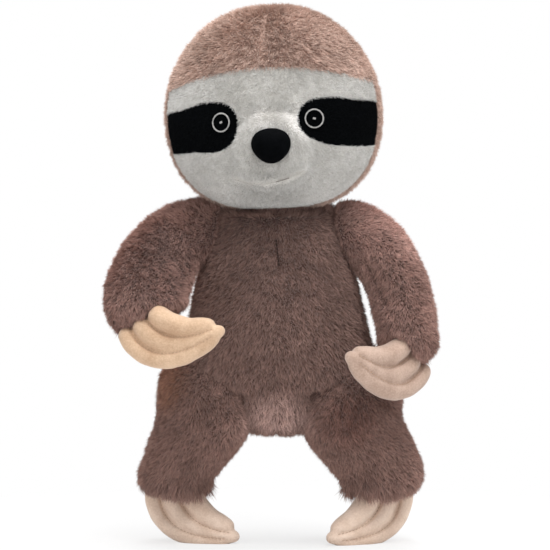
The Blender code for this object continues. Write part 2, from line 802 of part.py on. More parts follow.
def build():
    root = make_frame("toy", Matrix())
    neck = make_frame("head_turn_axis", neck_matrix(), root)
    head = make_frame("head_nod_axis", neck_matrix(), neck)
    make_torso(root)
    make_neck(neck)
    turn = turned("Z", HEAD_YAW_DEGREES) @ turned("Y", HEAD_ROLL_DEGREES)
    centre = Vector((HEAD_CENTRE_X, HEAD_CENTRE_Y, NECKLINE_Z + HEAD_RISE))
    make_head(head, Matrix.Translation(centre) @ turn)
    for side, sign in SIDES.items():
        arm = make_frame("shoulder_axis_" + side, Matrix.Translation(shoulder_centre(sign)), root)
        wrist_at = mitt_matrix(side, arm_route(side)[-1], HAND_CURL_DEGREES[side], HAND_YAW_DEGREES[side])
        make_arm(side, arm, make_frame("wrist_axis_" + side, wrist_at, arm))
        leg = make_frame("hip_axis_" + side, Matrix.Translation((sign * HIP_X, HIP_Y, HIP_Z)), root)
        ankle_at = Vector((sign * (HIP_X + LEG_SPLAY[side]), ANKLE_Y, ankle_height()))
        foot_at = mitt_matrix(side, ankle_at, 0, FOOT_YAW_DEGREES[side])
        make_leg(side, leg, make_frame("ankle_axis_" + side, foot_at, leg))
    centre_on_origin(root)


build()
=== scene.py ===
"""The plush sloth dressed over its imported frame: fur, face plush, velour claws, embroidery and seams."""

import json
import math

import bmesh
import bpy
from mathutils import Matrix, Vector, noise
from mathutils.bvhtree import BVHTree
from mathutils.kdtree import KDTree


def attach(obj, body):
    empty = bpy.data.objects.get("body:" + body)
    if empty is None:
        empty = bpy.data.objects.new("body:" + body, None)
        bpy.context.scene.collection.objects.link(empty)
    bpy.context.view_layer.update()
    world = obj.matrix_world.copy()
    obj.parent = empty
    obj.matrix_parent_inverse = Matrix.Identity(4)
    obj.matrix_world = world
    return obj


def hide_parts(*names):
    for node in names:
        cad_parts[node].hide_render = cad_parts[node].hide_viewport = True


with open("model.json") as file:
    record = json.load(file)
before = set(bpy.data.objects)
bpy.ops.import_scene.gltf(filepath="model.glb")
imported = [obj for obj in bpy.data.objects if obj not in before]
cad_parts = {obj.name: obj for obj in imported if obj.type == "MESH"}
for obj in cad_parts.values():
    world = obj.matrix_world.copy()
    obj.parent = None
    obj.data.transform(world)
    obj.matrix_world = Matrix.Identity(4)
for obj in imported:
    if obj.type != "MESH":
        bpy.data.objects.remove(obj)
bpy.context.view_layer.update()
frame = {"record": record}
JOINTS = {joint["name"]: joint for joint in frame["record"]["behaviour"]["joints"]}
SIDES = {"left": 1, "right": -1}

# The toy's own measures, in metres, from the same plan as the solids
SEWING_GAP = 0.0003
NECKLINE_Z = 0.2130
NECK_CENTRE = Vector((0, 0.0030, NECKLINE_Z - 0.0080))
NECK_RADIUS = 0.0280
NECK_PLAY = 0.0006
TORSO_BOTTOM_Z = 0.072
TORSO_HALF_WIDTH = 0.0645
TORSO_FRONT_DEPTH = 0.0450
TORSO_BACK_DEPTH = 0.0395
CROTCH_HALF_WIDTH = 0.0190
HEAD_HALF_WIDTH = 0.0665
HEAD_HALF_HEIGHT = 0.0645
HEAD_FRONT_DEPTH = 0.0520
HEAD_BACK_DEPTH = 0.0540
MUZZLE_BULGE = 0.0075
HEAD_CENTRE = Vector((-0.0025, -0.0040, NECKLINE_Z + 0.0700))
HEAD_YAW_DEGREES = -4.0
HEAD_ROLL_DEGREES = -2.7
FACE_SEAM_Y = -0.0100
EYE_RING_RADIUS = 0.0058
NOSE_HALF_SIZE = (0.0125, 0.0100, 0.0118)
NOSE_TAPER_SHARE = 0.12
SHOULDER_TILT_DEGREES = 12.0
SHOULDER_SEAT_RADIUS = 0.0225
ARM_REACH_OUT = {"left": 0.0445, "right": 0.0485}
ARM_REACH_FORWARD = 0.0345
ARM_DROP = {"left": 0.0785, "right": 0.0760}
ARM_HALF_WIDTH = 0.0205
ARM_HALF_DEPTH = 0.0175
ARM_BEND_SWELL = {"left": -0.0026, "right": 0.0044}
RIGHT_ARM_SWING_DEGREES = 24.0
HIP_RADIUS = 0.0360
LEG_HALF_WIDTH = {"left": 0.0310, "right": 0.0280}
LEG_HALF_DEPTH = 0.0370
LEG_FULLNESS = {"left": 1.0, "right": 1.7}
CLAW_REACH = 0.0470
CLAW_DROP = 0.0290
CLAW_SPACING = 0.0110
CLAW_HALF_WIDTH = 0.0068
CLAW_HALF_THICKNESS = 0.0082
FLEX_DEGREES = 25.0
FOOT_YAW_DEGREES = {"left": 30.0, "right": 16.0}
HAND_YAW_DEGREES = {"left": 40.0, "right": 18.0}
HAND_CURL_DEGREES = {"left": 39.0, "right": 32.0}

# Torso rings: height, half-width, front depth, back depth
TORSO_RINGS = (
    (0.00, 0.30, 0.26, 0.28),
    (0.05, 0.74, 0.60, 0.66),
    (0.18, 0.96, 0.82, 0.90),
    (0.34, 0.99, 1.02, 1.02),
    (0.54, 0.84, 1.02, 0.98),
    (0.74, 0.76, 0.88, 0.85),
    (0.93, 0.70, 0.74, 0.77),
    (1.10, 0.42, 0.48, 0.56),
)
# Head rings: height, half-width, front depth, back depth, muzzle
HEAD_RINGS = (
    (-1.00, 0.30, 0.34, 0.34, 0.0),
    (-0.90, 0.66, 0.70, 0.66, 0.1),
    (-0.62, 0.93, 0.95, 0.88, 0.6),
    (-0.24, 1.04, 1.02, 1.02, 1.0),
    (0.18, 1.03, 1.03, 1.06, 0.0),
    (0.58, 0.87, 0.88, 0.92, 0.0),
    (0.90, 0.55, 0.54, 0.58, 0.0),
    (1.02, 0.20, 0.20, 0.22, 0.0),
)
# Arm stations: out, forward, down, half-width, half-depth, swell
ARM_STATIONS = (
    (-0.16, 0.00, -0.02, 1.05, 0.92, 0.0),
    (0.16, 0.04, -0.01, 1.06, 0.98, 0.0),
    (0.58, 0.20, 0.10, 1.04, 1.06, 0.4),
    (0.86, 0.50, 0.42, 1.02, 1.04, 1.0),
    (0.97, 0.80, 0.76, 1.00, 0.98, 1.0),
    (1.00, 1.02, 1.03, 0.98, 0.90, 0.5),
)
# Leg stations: splay, height from the ankle to the hip, half-width, half-depth, fullness beside the body
LEG_STATIONS = (
    (0.02, 1.60, 0.46, 0.38, 0.10),
    (0.02, 1.44, 0.88, 0.76, 0.20),
    (0.00, 1.00, 1.00, 1.02, 0.26),
    (0.03, 0.80, 0.98, 0.98, 0.26),
    (0.40, 0.56, 0.81, 0.82, 0.12),
    (0.86, 0.24, 0.79, 0.66, 0.0),
    (1.00, -0.04, 0.78, 0.58, 0.0),
)
# Claws from the outer to the inner one: start, bend and tip across, then bend and tip down
CLAW_CURVES = (
    (-1.0, -0.40, 0.88, 1.15, 1.02),
    (0.0, -0.06, 1.00, 0.90, 0.94),
    (1.0, 0.36, 0.92, 0.58, 0.76),
)
# Along a claw: share of the way, half-width, half-thickness
CLAW_STATIONS = (
    (0.00, 0.92, 1.00),
    (0.20, 1.00, 1.05),
    (0.45, 1.04, 1.06),
    (0.68, 1.00, 1.00),
    (0.86, 0.88, 0.90),
    (0.97, 0.64, 0.64),
    (1.00, 0.30, 0.30),
)
# Places on the face, across by the head's half-width and up by its half-height
HOOD_EDGE = (0.411, 0.186)
PATCH_CENTRE = (0.647, -0.155)
PATCH_HALF_SIZE = (0.361, 0.248)
EYE_SPOT = (0.439, -0.112)
NOSE_SPOT = (0.030, -0.350)
PATCH_OUTLINE = {
    "left": (
        (-1.00, 0.28), (-0.80, 0.81), (-0.22, 1.00), (0.36, 0.88), (1.20, 0.48),
        (1.20, -0.76), (0.20, -0.98), (-0.50, -0.74), (-0.92, -0.26),
    ),
    "right": (
        (-1.00, 0.30), (-0.80, 0.82), (-0.22, 1.00), (0.36, 0.81), (1.20, 0.33),
        (1.20, -0.76), (0.20, -0.98), (-0.60, -0.90), (-0.96, -0.34),
    ),
}
MUZZLE_CENTRE = (0.030, -0.420)
MUZZLE_HALF_SIZE = (0.40, 0.40)
MUZZLE_LIFT = 0.0054
MUZZLE_CREASE = 0.0016
MOUTH_LINE = (
    (-0.34, -0.672), (-0.20, -0.716), (-0.04, -0.724),
    (0.12, -0.698), (0.24, -0.658), (0.32, -0.624),
)
MOUTH_STITCH = ((0.06, -0.704), (0.17, -0.676))
# Shares of the muzzle's size: where it slopes off, its crease's place and width, and how high that starts
MUZZLE_EDGE = (0.72, 1.04)
MUZZLE_RIM = (1.12, 0.13)
MUZZLE_BROW = (0.2, 0.9)

# Lines pressed into the fur, seen from the front, in metres from the toy's own middle
BELLY_SEAM = (
    (-0.0013, 0.2060), (-0.0006, 0.1980), (0.0013, 0.1810), (0.0026, 0.1590),
    (0.0039, 0.1300), (0.0019, 0.0950), (0.0010, 0.0760),
)
THREAD_STRETCH = BELLY_SEAM[1:3]
THREAD_STEPS = 8
ARM_CREASE = {
    "right": ((-0.0690, 0.2060), (-0.0668, 0.1920), (-0.0627, 0.1810)),
    "left": ((0.0560, 0.1860), (0.0600, 0.1790), (0.0698, 0.1596)),
}
HOOD_CREASE = ((-0.0080, 0.3420), (-0.0095, 0.3300), (-0.0105, 0.3180))

# Fabric swelling unevenly over its stuffing: the size of a patch and how far it rises
TORSO_SWELL = (0.026, 0.0014)
ARM_SWELL = (0.018, 0.0011)
LEG_SWELL = (0.020, 0.0012)
CLAW_SWELL = (0.009, 0.0005)
# Pressed creases: width and depth
BELLY_CREASE_SIZE = (0.0045, 0.0010)
ARM_CREASE_SIZE = (0.0050, 0.0026)
CLAW_CREASE_SIZE = (0.0011, 0.0009)
# The collar rises beside the neck, and stays low in front, where the chin comes down in a nod
COLLAR_HEIGHT = {"left": 0.0075, "right": 0.0060}
COLLAR_EDGE = (0.0288, 0.0315)
COLLAR_POWER = {"front": 10, "back": 2}
NECK_SIDE = (-0.022, -0.010)
CROTCH_RISE = 0.0070
# Seams between claws: where they start along a claw, how far they run, and in how many steps
CLAW_SEAM = (0.06, 0.88, 30)
MITT_VOXEL = 0.0008
MITT_SOFTENING = (0.5, 14)
# Stitches: spacing, then half-length, half-width and half-height
BELLY_STITCH = (0.0024, 0.0013, 0.0005, 0.0005)
CLAW_STITCH = (0.0024, 0.0010, 0.00020, 0.00020)
MOUTH_LINE_STITCH = (0.0017, 0.0011, 0.00032, 0.0003)
MOUTH_CORNER_STITCH = (0.0012, 0.0008, 0.00040, 0.0004)
EYE_STITCHES = {
    "eye_ring_": (0.00044, 0.00026, 0.00058, 0.00048),
    "eye_highlight_": (0.0004, 0.00024, 0.0008, 0.0005),
}
EYE_RING_STEPS = 96

TORSO_SIDES = 10
HEAD_SIDES = 10
LIMB_SIDES = 8
CLAW_SIDES = 8
LIMB_LEVELS = 3
BODY_LEVELS = 4
PANEL_THICKNESS = 0.0020
CURVE_STEPS = 12
WELD_DISTANCE = 0.00001
# A slanting line that tells the inside of a form from its outside
PROBE_WAY = Vector((0.31, 0.17, 0.93))
PROBE_REACH = 0.03
PROBE_STEP = 0.00001


def pivot(name):
    """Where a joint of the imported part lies."""
    return Vector(JOINTS[name]["pos_m"])


TOY = pivot("head_turn") - NECK_CENTRE


def turned(axis, degrees):
    return Matrix.Rotation(math.radians(degrees), 4, axis)


def link(thing):
    bpy.context.scene.collection.objects.link(thing)
    return thing


def mesh_object(name, bm):
    bmesh.ops.recalc_face_normals(bm, faces=bm.faces)
    mesh = bpy.data.meshes.new(name)
    bm.to_mesh(mesh)
    bm.free()
    return link(bpy.data.objects.new(name, mesh))


def evaluated_mesh(thing):
    graph = bpy.context.evaluated_depsgraph_get()
    solved = thing.evaluated_get(graph)
    return bpy.data.meshes.new_from_object(solved, preserve_all_data_layers=True, depsgraph=graph)


def settled(thing, name):
    """The object's evaluated shape as a plain mesh under a new name, with the old object gone."""
    mesh = evaluated_mesh(thing)
    bpy.data.objects.remove(thing, do_unlink=True)
    mesh.name = name
    return link(bpy.data.objects.new(name, mesh))


def limit_share(sides):
    """What repeated subdivision leaves of the radius of a ring with so many sides."""
    return (2 + math.cos(2 * math.pi / sides)) / 3


def soft_form(name, rings, sides, levels, fuller=None, toward=0):
    """A closed smooth form through rings of (centre, across, front, back), fuller at one side's corners."""
    bm = bmesh.new()
    loops = []
    grow = 1 / limit_share(sides)
    for index, (centre, across, front, back) in enumerate(rings):
        loop = []
        for step in range(sides):
            angle = 2 * math.pi * step / sides
            depth = front if math.sin(angle) > 0 else back
            offset = across * math.cos(angle) + depth * abs(math.sin(angle))
            if fuller and toward * math.cos(angle) > 0:
                offset *= 1 + fuller[index] * abs(math.sin(2 * angle))
            loop.append(bm.verts.new(centre + offset * grow))
        loops.append(loop)
    for low, high in zip(loops, loops[1:]):
        for step in range(sides):
            after = (step + 1) % sides
            bm.faces.new((low[step], low[after], high[after], high[step]))
    bm.faces.new(loops[0])
    bm.faces.new(loops[-1])
    cage = mesh_object(name + "_cage", bm)
    modifier = cage.modifiers.new("Smooth", "SUBSURF")
    modifier.levels = levels
    modifier.render_levels = levels
    form = settled(cage, name)
    form.data.shade_smooth()
    return form


def tube_rings(points, half_widths, half_depths):
    rings = []
    for index, point in enumerate(points):
        before = points[max(index - 1, 0)]
        after = points[min(index + 1, len(points) - 1)]
        along = (after - before).normalized()
        across = along.cross(Vector((0, 1, 0))).normalized()
        depth = across.cross(along).normalized()
        front = depth * half_depths[index]
        rings.append((point, across * half_widths[index], front, -front))
    return rings


def move_points(thing, mover):
    """Moves every vertex by what the mover says for its place and normal."""
    moved = [mover(vertex.co.copy(), vertex.normal.copy()) for vertex in thing.data.vertices]
    for vertex, place in zip(thing.data.vertices, moved):
        vertex.co = place
    thing.data.update()


def shoulder_axis(sign):
    tilt = math.radians(SHOULDER_TILT_DEGREES)
    return Vector((sign * math.cos(tilt), 0, math.sin(tilt)))


def shoulder_matrix(side):
    """X runs out of the body, square to the arm's seam."""
    facing = Vector((1, 0, 0)).rotation_difference(shoulder_axis(SIDES[side])).to_matrix().to_4x4()
    return Matrix.Translation(pivot("shoulder_" + side)) @ facing


def ramp(value, low, high):
    """From 0 at the low value to 1 at the high one, softly."""
    share = min(max((value - low) / (high - low), 0.0), 1.0)
    return share * share * (3 - 2 * share)


def line_distance(line, place):
    """How far a place lies from a line, both seen from the front."""
    spot = Vector((place.x - TOY.x, place.z))
    best = None
    for start, end in zip(line, line[1:]):
        start, end = Vector(start), Vector(end)
        way = end - start
        share = min(max((spot - start).dot(way) / way.length_squared, 0.0), 1.0)
        distance = (start + way * share - spot).length
        best = distance if best is None else min(best, distance)
    return best


def swell(place, normal, size, height):
    """The uneven swell of stuffing under fabric."""
    return place + normal * height * noise.noise(place / size)


def pressed(place, normal, line, width, depth):
    """A soft crease in the front of a form."""
    if normal.y > 0:
        return place
    return place - normal * depth * math.exp(-((line_distance(line, place) / width) ** 2))


def beside_neck(place):
    """How far a place lies to the side of the neck's middle, and how far behind it."""
    return place.x - TOY.x, place.y - TOY.y - NECK_CENTRE.y


def nearest_of(points):
    """Finds the nearest of some points."""
    found = KDTree(len(points))
    for index, point in enumerate(points):
        found.insert(point, index)
    found.balance()
    return found


# Torso

def collar_height(place):
    """How far the torso may rise over its neckline at a place."""
    aside, ahead = beside_neck(place)
    from_neck = max(math.hypot(aside, ahead), SEWING_GAP)
    height = COLLAR_HEIGHT["left" if aside > 0 else "right"] * ramp(from_neck, *COLLAR_EDGE)
    return height * (aside / from_neck) ** COLLAR_POWER["front" if ahead < 0 else "back"]


def torso_form(name):
    """The torso, with a seat for each arm, room for each leg and a flat neckline."""
    height = NECKLINE_Z - TORSO_BOTTOM_Z
    rings = []
    for up, wide, front, back in TORSO_RINGS:
        centre = TOY + Vector((0, 0, TORSO_BOTTOM_Z + up * height))
        across = Vector((wide * TORSO_HALF_WIDTH, 0, 0))
        forward = Vector((0, -front * TORSO_FRONT_DEPTH, 0))
        rings.append((centre, across, forward, Vector((0, back * TORSO_BACK_DEPTH, 0))))
    torso = soft_form(name, rings, TORSO_SIDES, BODY_LEVELS)
    bm = bmesh.new()
    bm.from_mesh(torso.data)
    for edge in (CROTCH_HALF_WIDTH, CROTCH_HALF_WIDTH + SEWING_GAP / 2):
        for sign in SIDES.values():
            geometry = bm.verts[:] + bm.edges[:] + bm.faces[:]
            cut = {"plane_co": (TOY.x + sign * edge, 0, 0), "plane_no": (1, 0, 0)}
            bmesh.ops.bisect_plane(bm, geom=geometry, dist=SEWING_GAP / 30, **cut)
    bm.to_mesh(torso.data)
    bm.free()
    seats = [shoulder_matrix(side) for side in SIDES]
    seats = [(seat, seat.inverted()) for seat in seats]
    hip = pivot("hip_left")
    room = HIP_RADIUS + SEWING_GAP

    def fit(place, normal):
        place = pressed(swell(place, normal, *TORSO_SWELL), normal, BELLY_SEAM, *BELLY_CREASE_SIZE)
        place.z = min(place.z, NECKLINE_Z + collar_height(place))
        for seat, inverse in seats:
            local = inverse @ place
            if local.x > 0 and math.hypot(local.y, local.z) < SHOULDER_SEAT_RADIUS + SEWING_GAP:
                place = seat @ Vector((0, local.y, local.z))
        behind = place.y - hip.y
        across = abs(place.x - TOY.x) / CROTCH_HALF_WIDTH
        if across <= 1.02:
            place.z = max(place.z, TORSO_BOTTOM_Z + CROTCH_RISE * across**3)
        elif abs(behind) < room:
            place.z = max(place.z, hip.z + math.sqrt(room**2 - behind**2))
        return place

    move_points(torso, fit)
    return torso


# Head

def head_form(name):
    """The head about its own centre, unturned, with the muzzle raised on its front."""
    rings = []
    for up, wide, front, back, muzzle in HEAD_RINGS:
        depth = front * HEAD_FRONT_DEPTH + muzzle * MUZZLE_BULGE
        across = Vector((wide * HEAD_HALF_WIDTH, 0, 0))
        backward = Vector((0, back * HEAD_BACK_DEPTH, 0))
        rings.append((Vector((0, 0, up * HEAD_HALF_HEIGHT)), across, Vector((0, -depth, 0)), backward))
    head = soft_form(name, rings, HEAD_SIDES, BODY_LEVELS)

    def lift(place, normal):
        if normal.y > 0:
            return place
        across = (place.x / HEAD_HALF_WIDTH - MUZZLE_CENTRE[0]) / MUZZLE_HALF_SIZE[0]
        up = (place.z / HEAD_HALF_HEIGHT - MUZZLE_CENTRE[1]) / MUZZLE_HALF_SIZE[1]
        away = math.hypot(across, up)
        rim = math.exp(-(((away - MUZZLE_RIM[0]) / MUZZLE_RIM[1]) ** 2))
        crease = MUZZLE_CREASE * ramp(up, *MUZZLE_BROW) * rim
        return place + normal * (MUZZLE_LIFT * (1 - ramp(away, *MUZZLE_EDGE)) - crease)

    move_points(head, lift)
    return head


def head_matrix():
    turn = turned("Z", HEAD_YAW_DEGREES) @ turned("Y", HEAD_ROLL_DEGREES)
    return Matrix.Translation(TOY + HEAD_CENTRE) @ turn


# Arms and legs

def mitt_matrix(side, joint, curl_degrees, yaw_degrees):
    """X runs inward along the hinge and Z up the limb; a right mitt is the left one mirrored."""
    mirror = Matrix.Diagonal((-SIDES[side], 1, 1, 1))
    turn = turned("Z", -yaw_degrees) @ turned("Y", -curl_degrees)
    return Matrix.Translation(pivot(joint)) @ mirror @ turn @ mirror


def hand_matrix(side):
    return mitt_matrix(side, "wrist_" + side, HAND_CURL_DEGREES[side], HAND_YAW_DEGREES[side])


def foot_matrix(side):
    return mitt_matrix(side, "ankle_" + side, 0, FOOT_YAW_DEGREES[side])


def limb_end(matrix):
    """Keeps a limb's fabric above the mitt's root."""
    inverse = matrix.inverted()
    groove = CLAW_HALF_THICKNESS + SEWING_GAP
    flat = CLAW_HALF_THICKNESS * math.sin(math.radians(FLEX_DEGREES))

    def keep(place):
        local = inverse @ place
        low = flat
        if abs(local.y) < groove:
            low = max(flat, math.sqrt(groove**2 - local.y**2))
        local.z = max(local.z, low)
        return matrix @ local

    return keep


def arm_route(side):
    sign = SIDES[side]
    swing = Matrix()
    if side == "right":
        swing = Matrix.Rotation(math.radians(RIGHT_ARM_SWING_DEGREES), 4, shoulder_axis(sign))
    points = []
    for out, forward, down, *_ in ARM_STATIONS:
        across = sign * out * ARM_REACH_OUT[side]
        offset = Vector((across, -forward * ARM_REACH_FORWARD, -down * ARM_DROP[side]))
        points.append(pivot("shoulder_" + side) + swing @ offset)
    return points


def arm_form(name, side):
    widths = [station[3] * ARM_HALF_WIDTH + station[5] * ARM_BEND_SWELL[side] for station in ARM_STATIONS]
    depths = [station[4] * ARM_HALF_DEPTH for station in ARM_STATIONS]
    arm = soft_form(name, tube_rings(arm_route(side), widths, depths), LIMB_SIDES, LIMB_LEVELS)
    seam = shoulder_matrix(side)
    inverse = seam.inverted()
    end = limb_end(hand_matrix(side))

    def fit(place, normal):
        place = swell(place, normal, *ARM_SWELL)
        place = pressed(place, normal, ARM_CREASE[side], *ARM_CREASE_SIZE)
        local = inverse @ place
        local.x = max(local.x, SEWING_GAP)
        return end(seam @ local)

    move_points(arm, fit)
    return arm


def leg_route(side):
    hip = pivot("hip_" + side)
    ankle = pivot("ankle_" + side)
    points = []
    for splay, up, *_ in LEG_STATIONS:
        x = hip.x + splay * (ankle.x - hip.x)
        y = hip.y + (ankle.y - hip.y) * (1 - up)
        points.append(Vector((x, y, ankle.z + up * (hip.z - ankle.z))))
    return points


def leg_form(name, side):
    widths = [station[2] * LEG_HALF_WIDTH[side] for station in LEG_STATIONS]
    depths = [station[3] * LEG_HALF_DEPTH for station in LEG_STATIONS]
    fuller = [station[4] * LEG_FULLNESS[side] for station in LEG_STATIONS]
    rings = tube_rings(leg_route(side), widths, depths)
    leg = soft_form(name, rings, LIMB_SIDES, LIMB_LEVELS, fuller, -SIDES[side])
    hip = pivot("hip_" + side)
    inner = CROTCH_HALF_WIDTH + SEWING_GAP
    end = limb_end(foot_matrix(side))

    def fit(place, normal):
        place = swell(place, normal, *LEG_SWELL)
        place.x = TOY.x + SIDES[side] * max(SIDES[side] * (place.x - TOY.x), inner)
        behind, above = place.y - hip.y, place.z - hip.z
        reach = math.hypot(behind, max(above, 0))
        if reach > HIP_RADIUS:
            place.y = hip.y + behind * HIP_RADIUS / reach
            if above > 0:
                place.z = hip.z + above * HIP_RADIUS / reach
        return end(place)

    move_points(leg, fit)
    return leg


# Claws

def claw_points(sign, shares, ways):
    start, bend, tip, bend_down, tip_down = shares
    inward = -sign
    root = Vector((inward * start * CLAW_SPACING, 0, CLAW_HALF_THICKNESS))
    middle = Vector((inward * bend * CLAW_REACH, 0, -bend_down * CLAW_DROP))
    end = Vector((inward * tip * CLAW_REACH, 0, -tip_down * CLAW_DROP))
    return [root * (1 - t) ** 2 + middle * 2 * t * (1 - t) + end * t**2 for t in ways]


def groove_lines(sign, tree):
    """Where the seams between neighbouring claws run, on the front and the back of a mitt."""
    low, span, steps = CLAW_SEAM
    ways = [low + span * step / steps for step in range(steps + 1)]
    routes = [claw_points(sign, shares, ways) for shares in CLAW_CURVES]
    lines = []
    for first, second in zip(routes, routes[1:]):
        for face in (-1, 1):
            line = []
            for a, b in zip(first, second):
                start = (a + b) / 2 + Vector((0, face * 3 * CLAW_HALF_THICKNESS, 0))
                point, normal, _, _ = tree.ray_cast(start, Vector((0, -face, 0)))
                if point:
                    line.append((point, normal))
            lines.append(line)
    return lines


def claw_mitt(name, side, matrix):
    """Three padded claws grown together, with soft seams between them and a root round its hinge."""
    sign = SIDES[side]
    bm = bmesh.new()
    for shares in CLAW_CURVES:
        points = claw_points(sign, shares, [station[0] for station in CLAW_STATIONS])
        widths = [station[1] * CLAW_HALF_WIDTH for station in CLAW_STATIONS]
        depths = [station[2] * CLAW_HALF_THICKNESS for station in CLAW_STATIONS]
        claw = soft_form(name + "_claw", tube_rings(points, widths, depths), CLAW_SIDES, 2)
        bm.from_mesh(claw.data)
        bpy.data.objects.remove(claw, do_unlink=True)
    mitt = mesh_object(name + "_raw", bm)
    remesh = mitt.modifiers.new("Grow together", "REMESH")
    remesh.mode = "VOXEL"
    remesh.voxel_size = MITT_VOXEL
    soften = mitt.modifiers.new("Soften", "SMOOTH")
    soften.factor, soften.iterations = MITT_SOFTENING
    mitt = settled(mitt, name)
    lines = groove_lines(sign, closed_tree(mitt))
    seams = nearest_of([point for line in lines for point, _ in line])
    width, depth = CLAW_CREASE_SIZE

    def shape(place, normal):
        _, _, distance = seams.find(place)
        place = swell(place, normal, *CLAW_SWELL) - normal * depth * math.exp(-((distance / width) ** 2))
        reach = math.hypot(place.y, place.z)
        if place.z > 0 and reach > CLAW_HALF_THICKNESS:
            place.y *= CLAW_HALF_THICKNESS / reach
            place.z *= CLAW_HALF_THICKNESS / reach
        place = matrix @ place
        place.z = max(place.z, 0.0)
        return place

    move_points(mitt, shape)
    mitt.data.shade_smooth()
    turn = matrix.to_3x3()
    lines = [[(matrix @ point, turn @ normal) for point, normal in line] for line in lines]
    return mitt, lines


# Head panels

def outline_block(name, points, matrix, smooth):
    """An outline seen from the front, made solid from ahead of the head back to the side seams."""
    curve = bpy.data.curves.new(name, "CURVE")
    curve.dimensions = "2D"
    curve.fill_mode = "BOTH"
    depth = 2 * (HEAD_FRONT_DEPTH + MUZZLE_BULGE)
    curve.extrude = depth / 2
    curve.resolution_u = CURVE_STEPS
    spline = curve.splines.new("BEZIER" if smooth else "POLY")
    if smooth:
        spline.bezier_points.add(len(points) - 1)
        for bezier, (x, y) in zip(spline.bezier_points, points):
            bezier.co = (x, y, 0)
            bezier.handle_left_type = "AUTO"
            bezier.handle_right_type = "AUTO"
    else:
        spline.points.add(len(points) - 1)
        for point, (x, y) in zip(spline.points, points):
            point.co = (x, y, 0, 1)
    spline.use_cyclic_u = True
    flat = settled(link(bpy.data.objects.new(name + "_flat", curve)), name + "_mesh")
    bm = bmesh.new()
    bm.from_mesh(flat.data)
    bpy.data.objects.remove(flat, do_unlink=True)
    bmesh.ops.remove_doubles(bm, verts=bm.verts, dist=WELD_DISTANCE)
    block = mesh_object(name, bm)
    block.data.transform(matrix @ Matrix.Translation((0, FACE_SEAM_Y - depth / 2, 0)) @ turned("X", 90))
    return block


FACE_BLOCK_REACH = 1.5
FACE_EDGE_STEPS = 40


def face_outline():
    half = FACE_BLOCK_REACH * HEAD_HALF_WIDTH
    points = []
    for step in range(FACE_EDGE_STEPS + 1):
        x = half * (1 - 2 * step / FACE_EDGE_STEPS)
        points.append((x, HEAD_HALF_HEIGHT * (HOOD_EDGE[0] - HOOD_EDGE[1] * (x / HEAD_HALF_WIDTH) ** 2)))
    return points + [(-half, -2 * HEAD_HALF_HEIGHT), (half, -2 * HEAD_HALF_HEIGHT)]


def face_spot(sign, shares):
    """A place on the face, seen from the front."""
    return sign * shares[0] * HEAD_HALF_WIDTH, shares[1] * HEAD_HALF_HEIGHT


def patch_outline(side):
    points = []
    for across, up in PATCH_OUTLINE[side]:
        shares = (PATCH_CENTRE[0] + across * PATCH_HALF_SIZE[0], PATCH_CENTRE[1] + up * PATCH_HALF_SIZE[1])
        points.append(face_spot(SIDES[side], shares))
    return points


def boolean(thing, cutter, operation):
    modifier = thing.modifiers.new(cutter.name, "BOOLEAN")
    modifier.operation = operation
    modifier.solver = "EXACT"
    modifier.object = cutter


def skin_panel(name, form, steps):
    """A panel of the head's skin: a copy of the form given thickness, then cut by each block in turn."""
    panel = link(bpy.data.objects.new(name + "_whole", form.data.copy()))
    wall = panel.modifiers.new("Thickness", "SOLIDIFY")
    wall.thickness = PANEL_THICKNESS
    wall.offset = -1.0
    for cutter, operation in steps:
        boolean(panel, cutter, operation)
    panel = settled(panel, name)
    panel.data.shade_smooth()
    return panel


# Pile: strands of fur as a Geometry Nodes tree

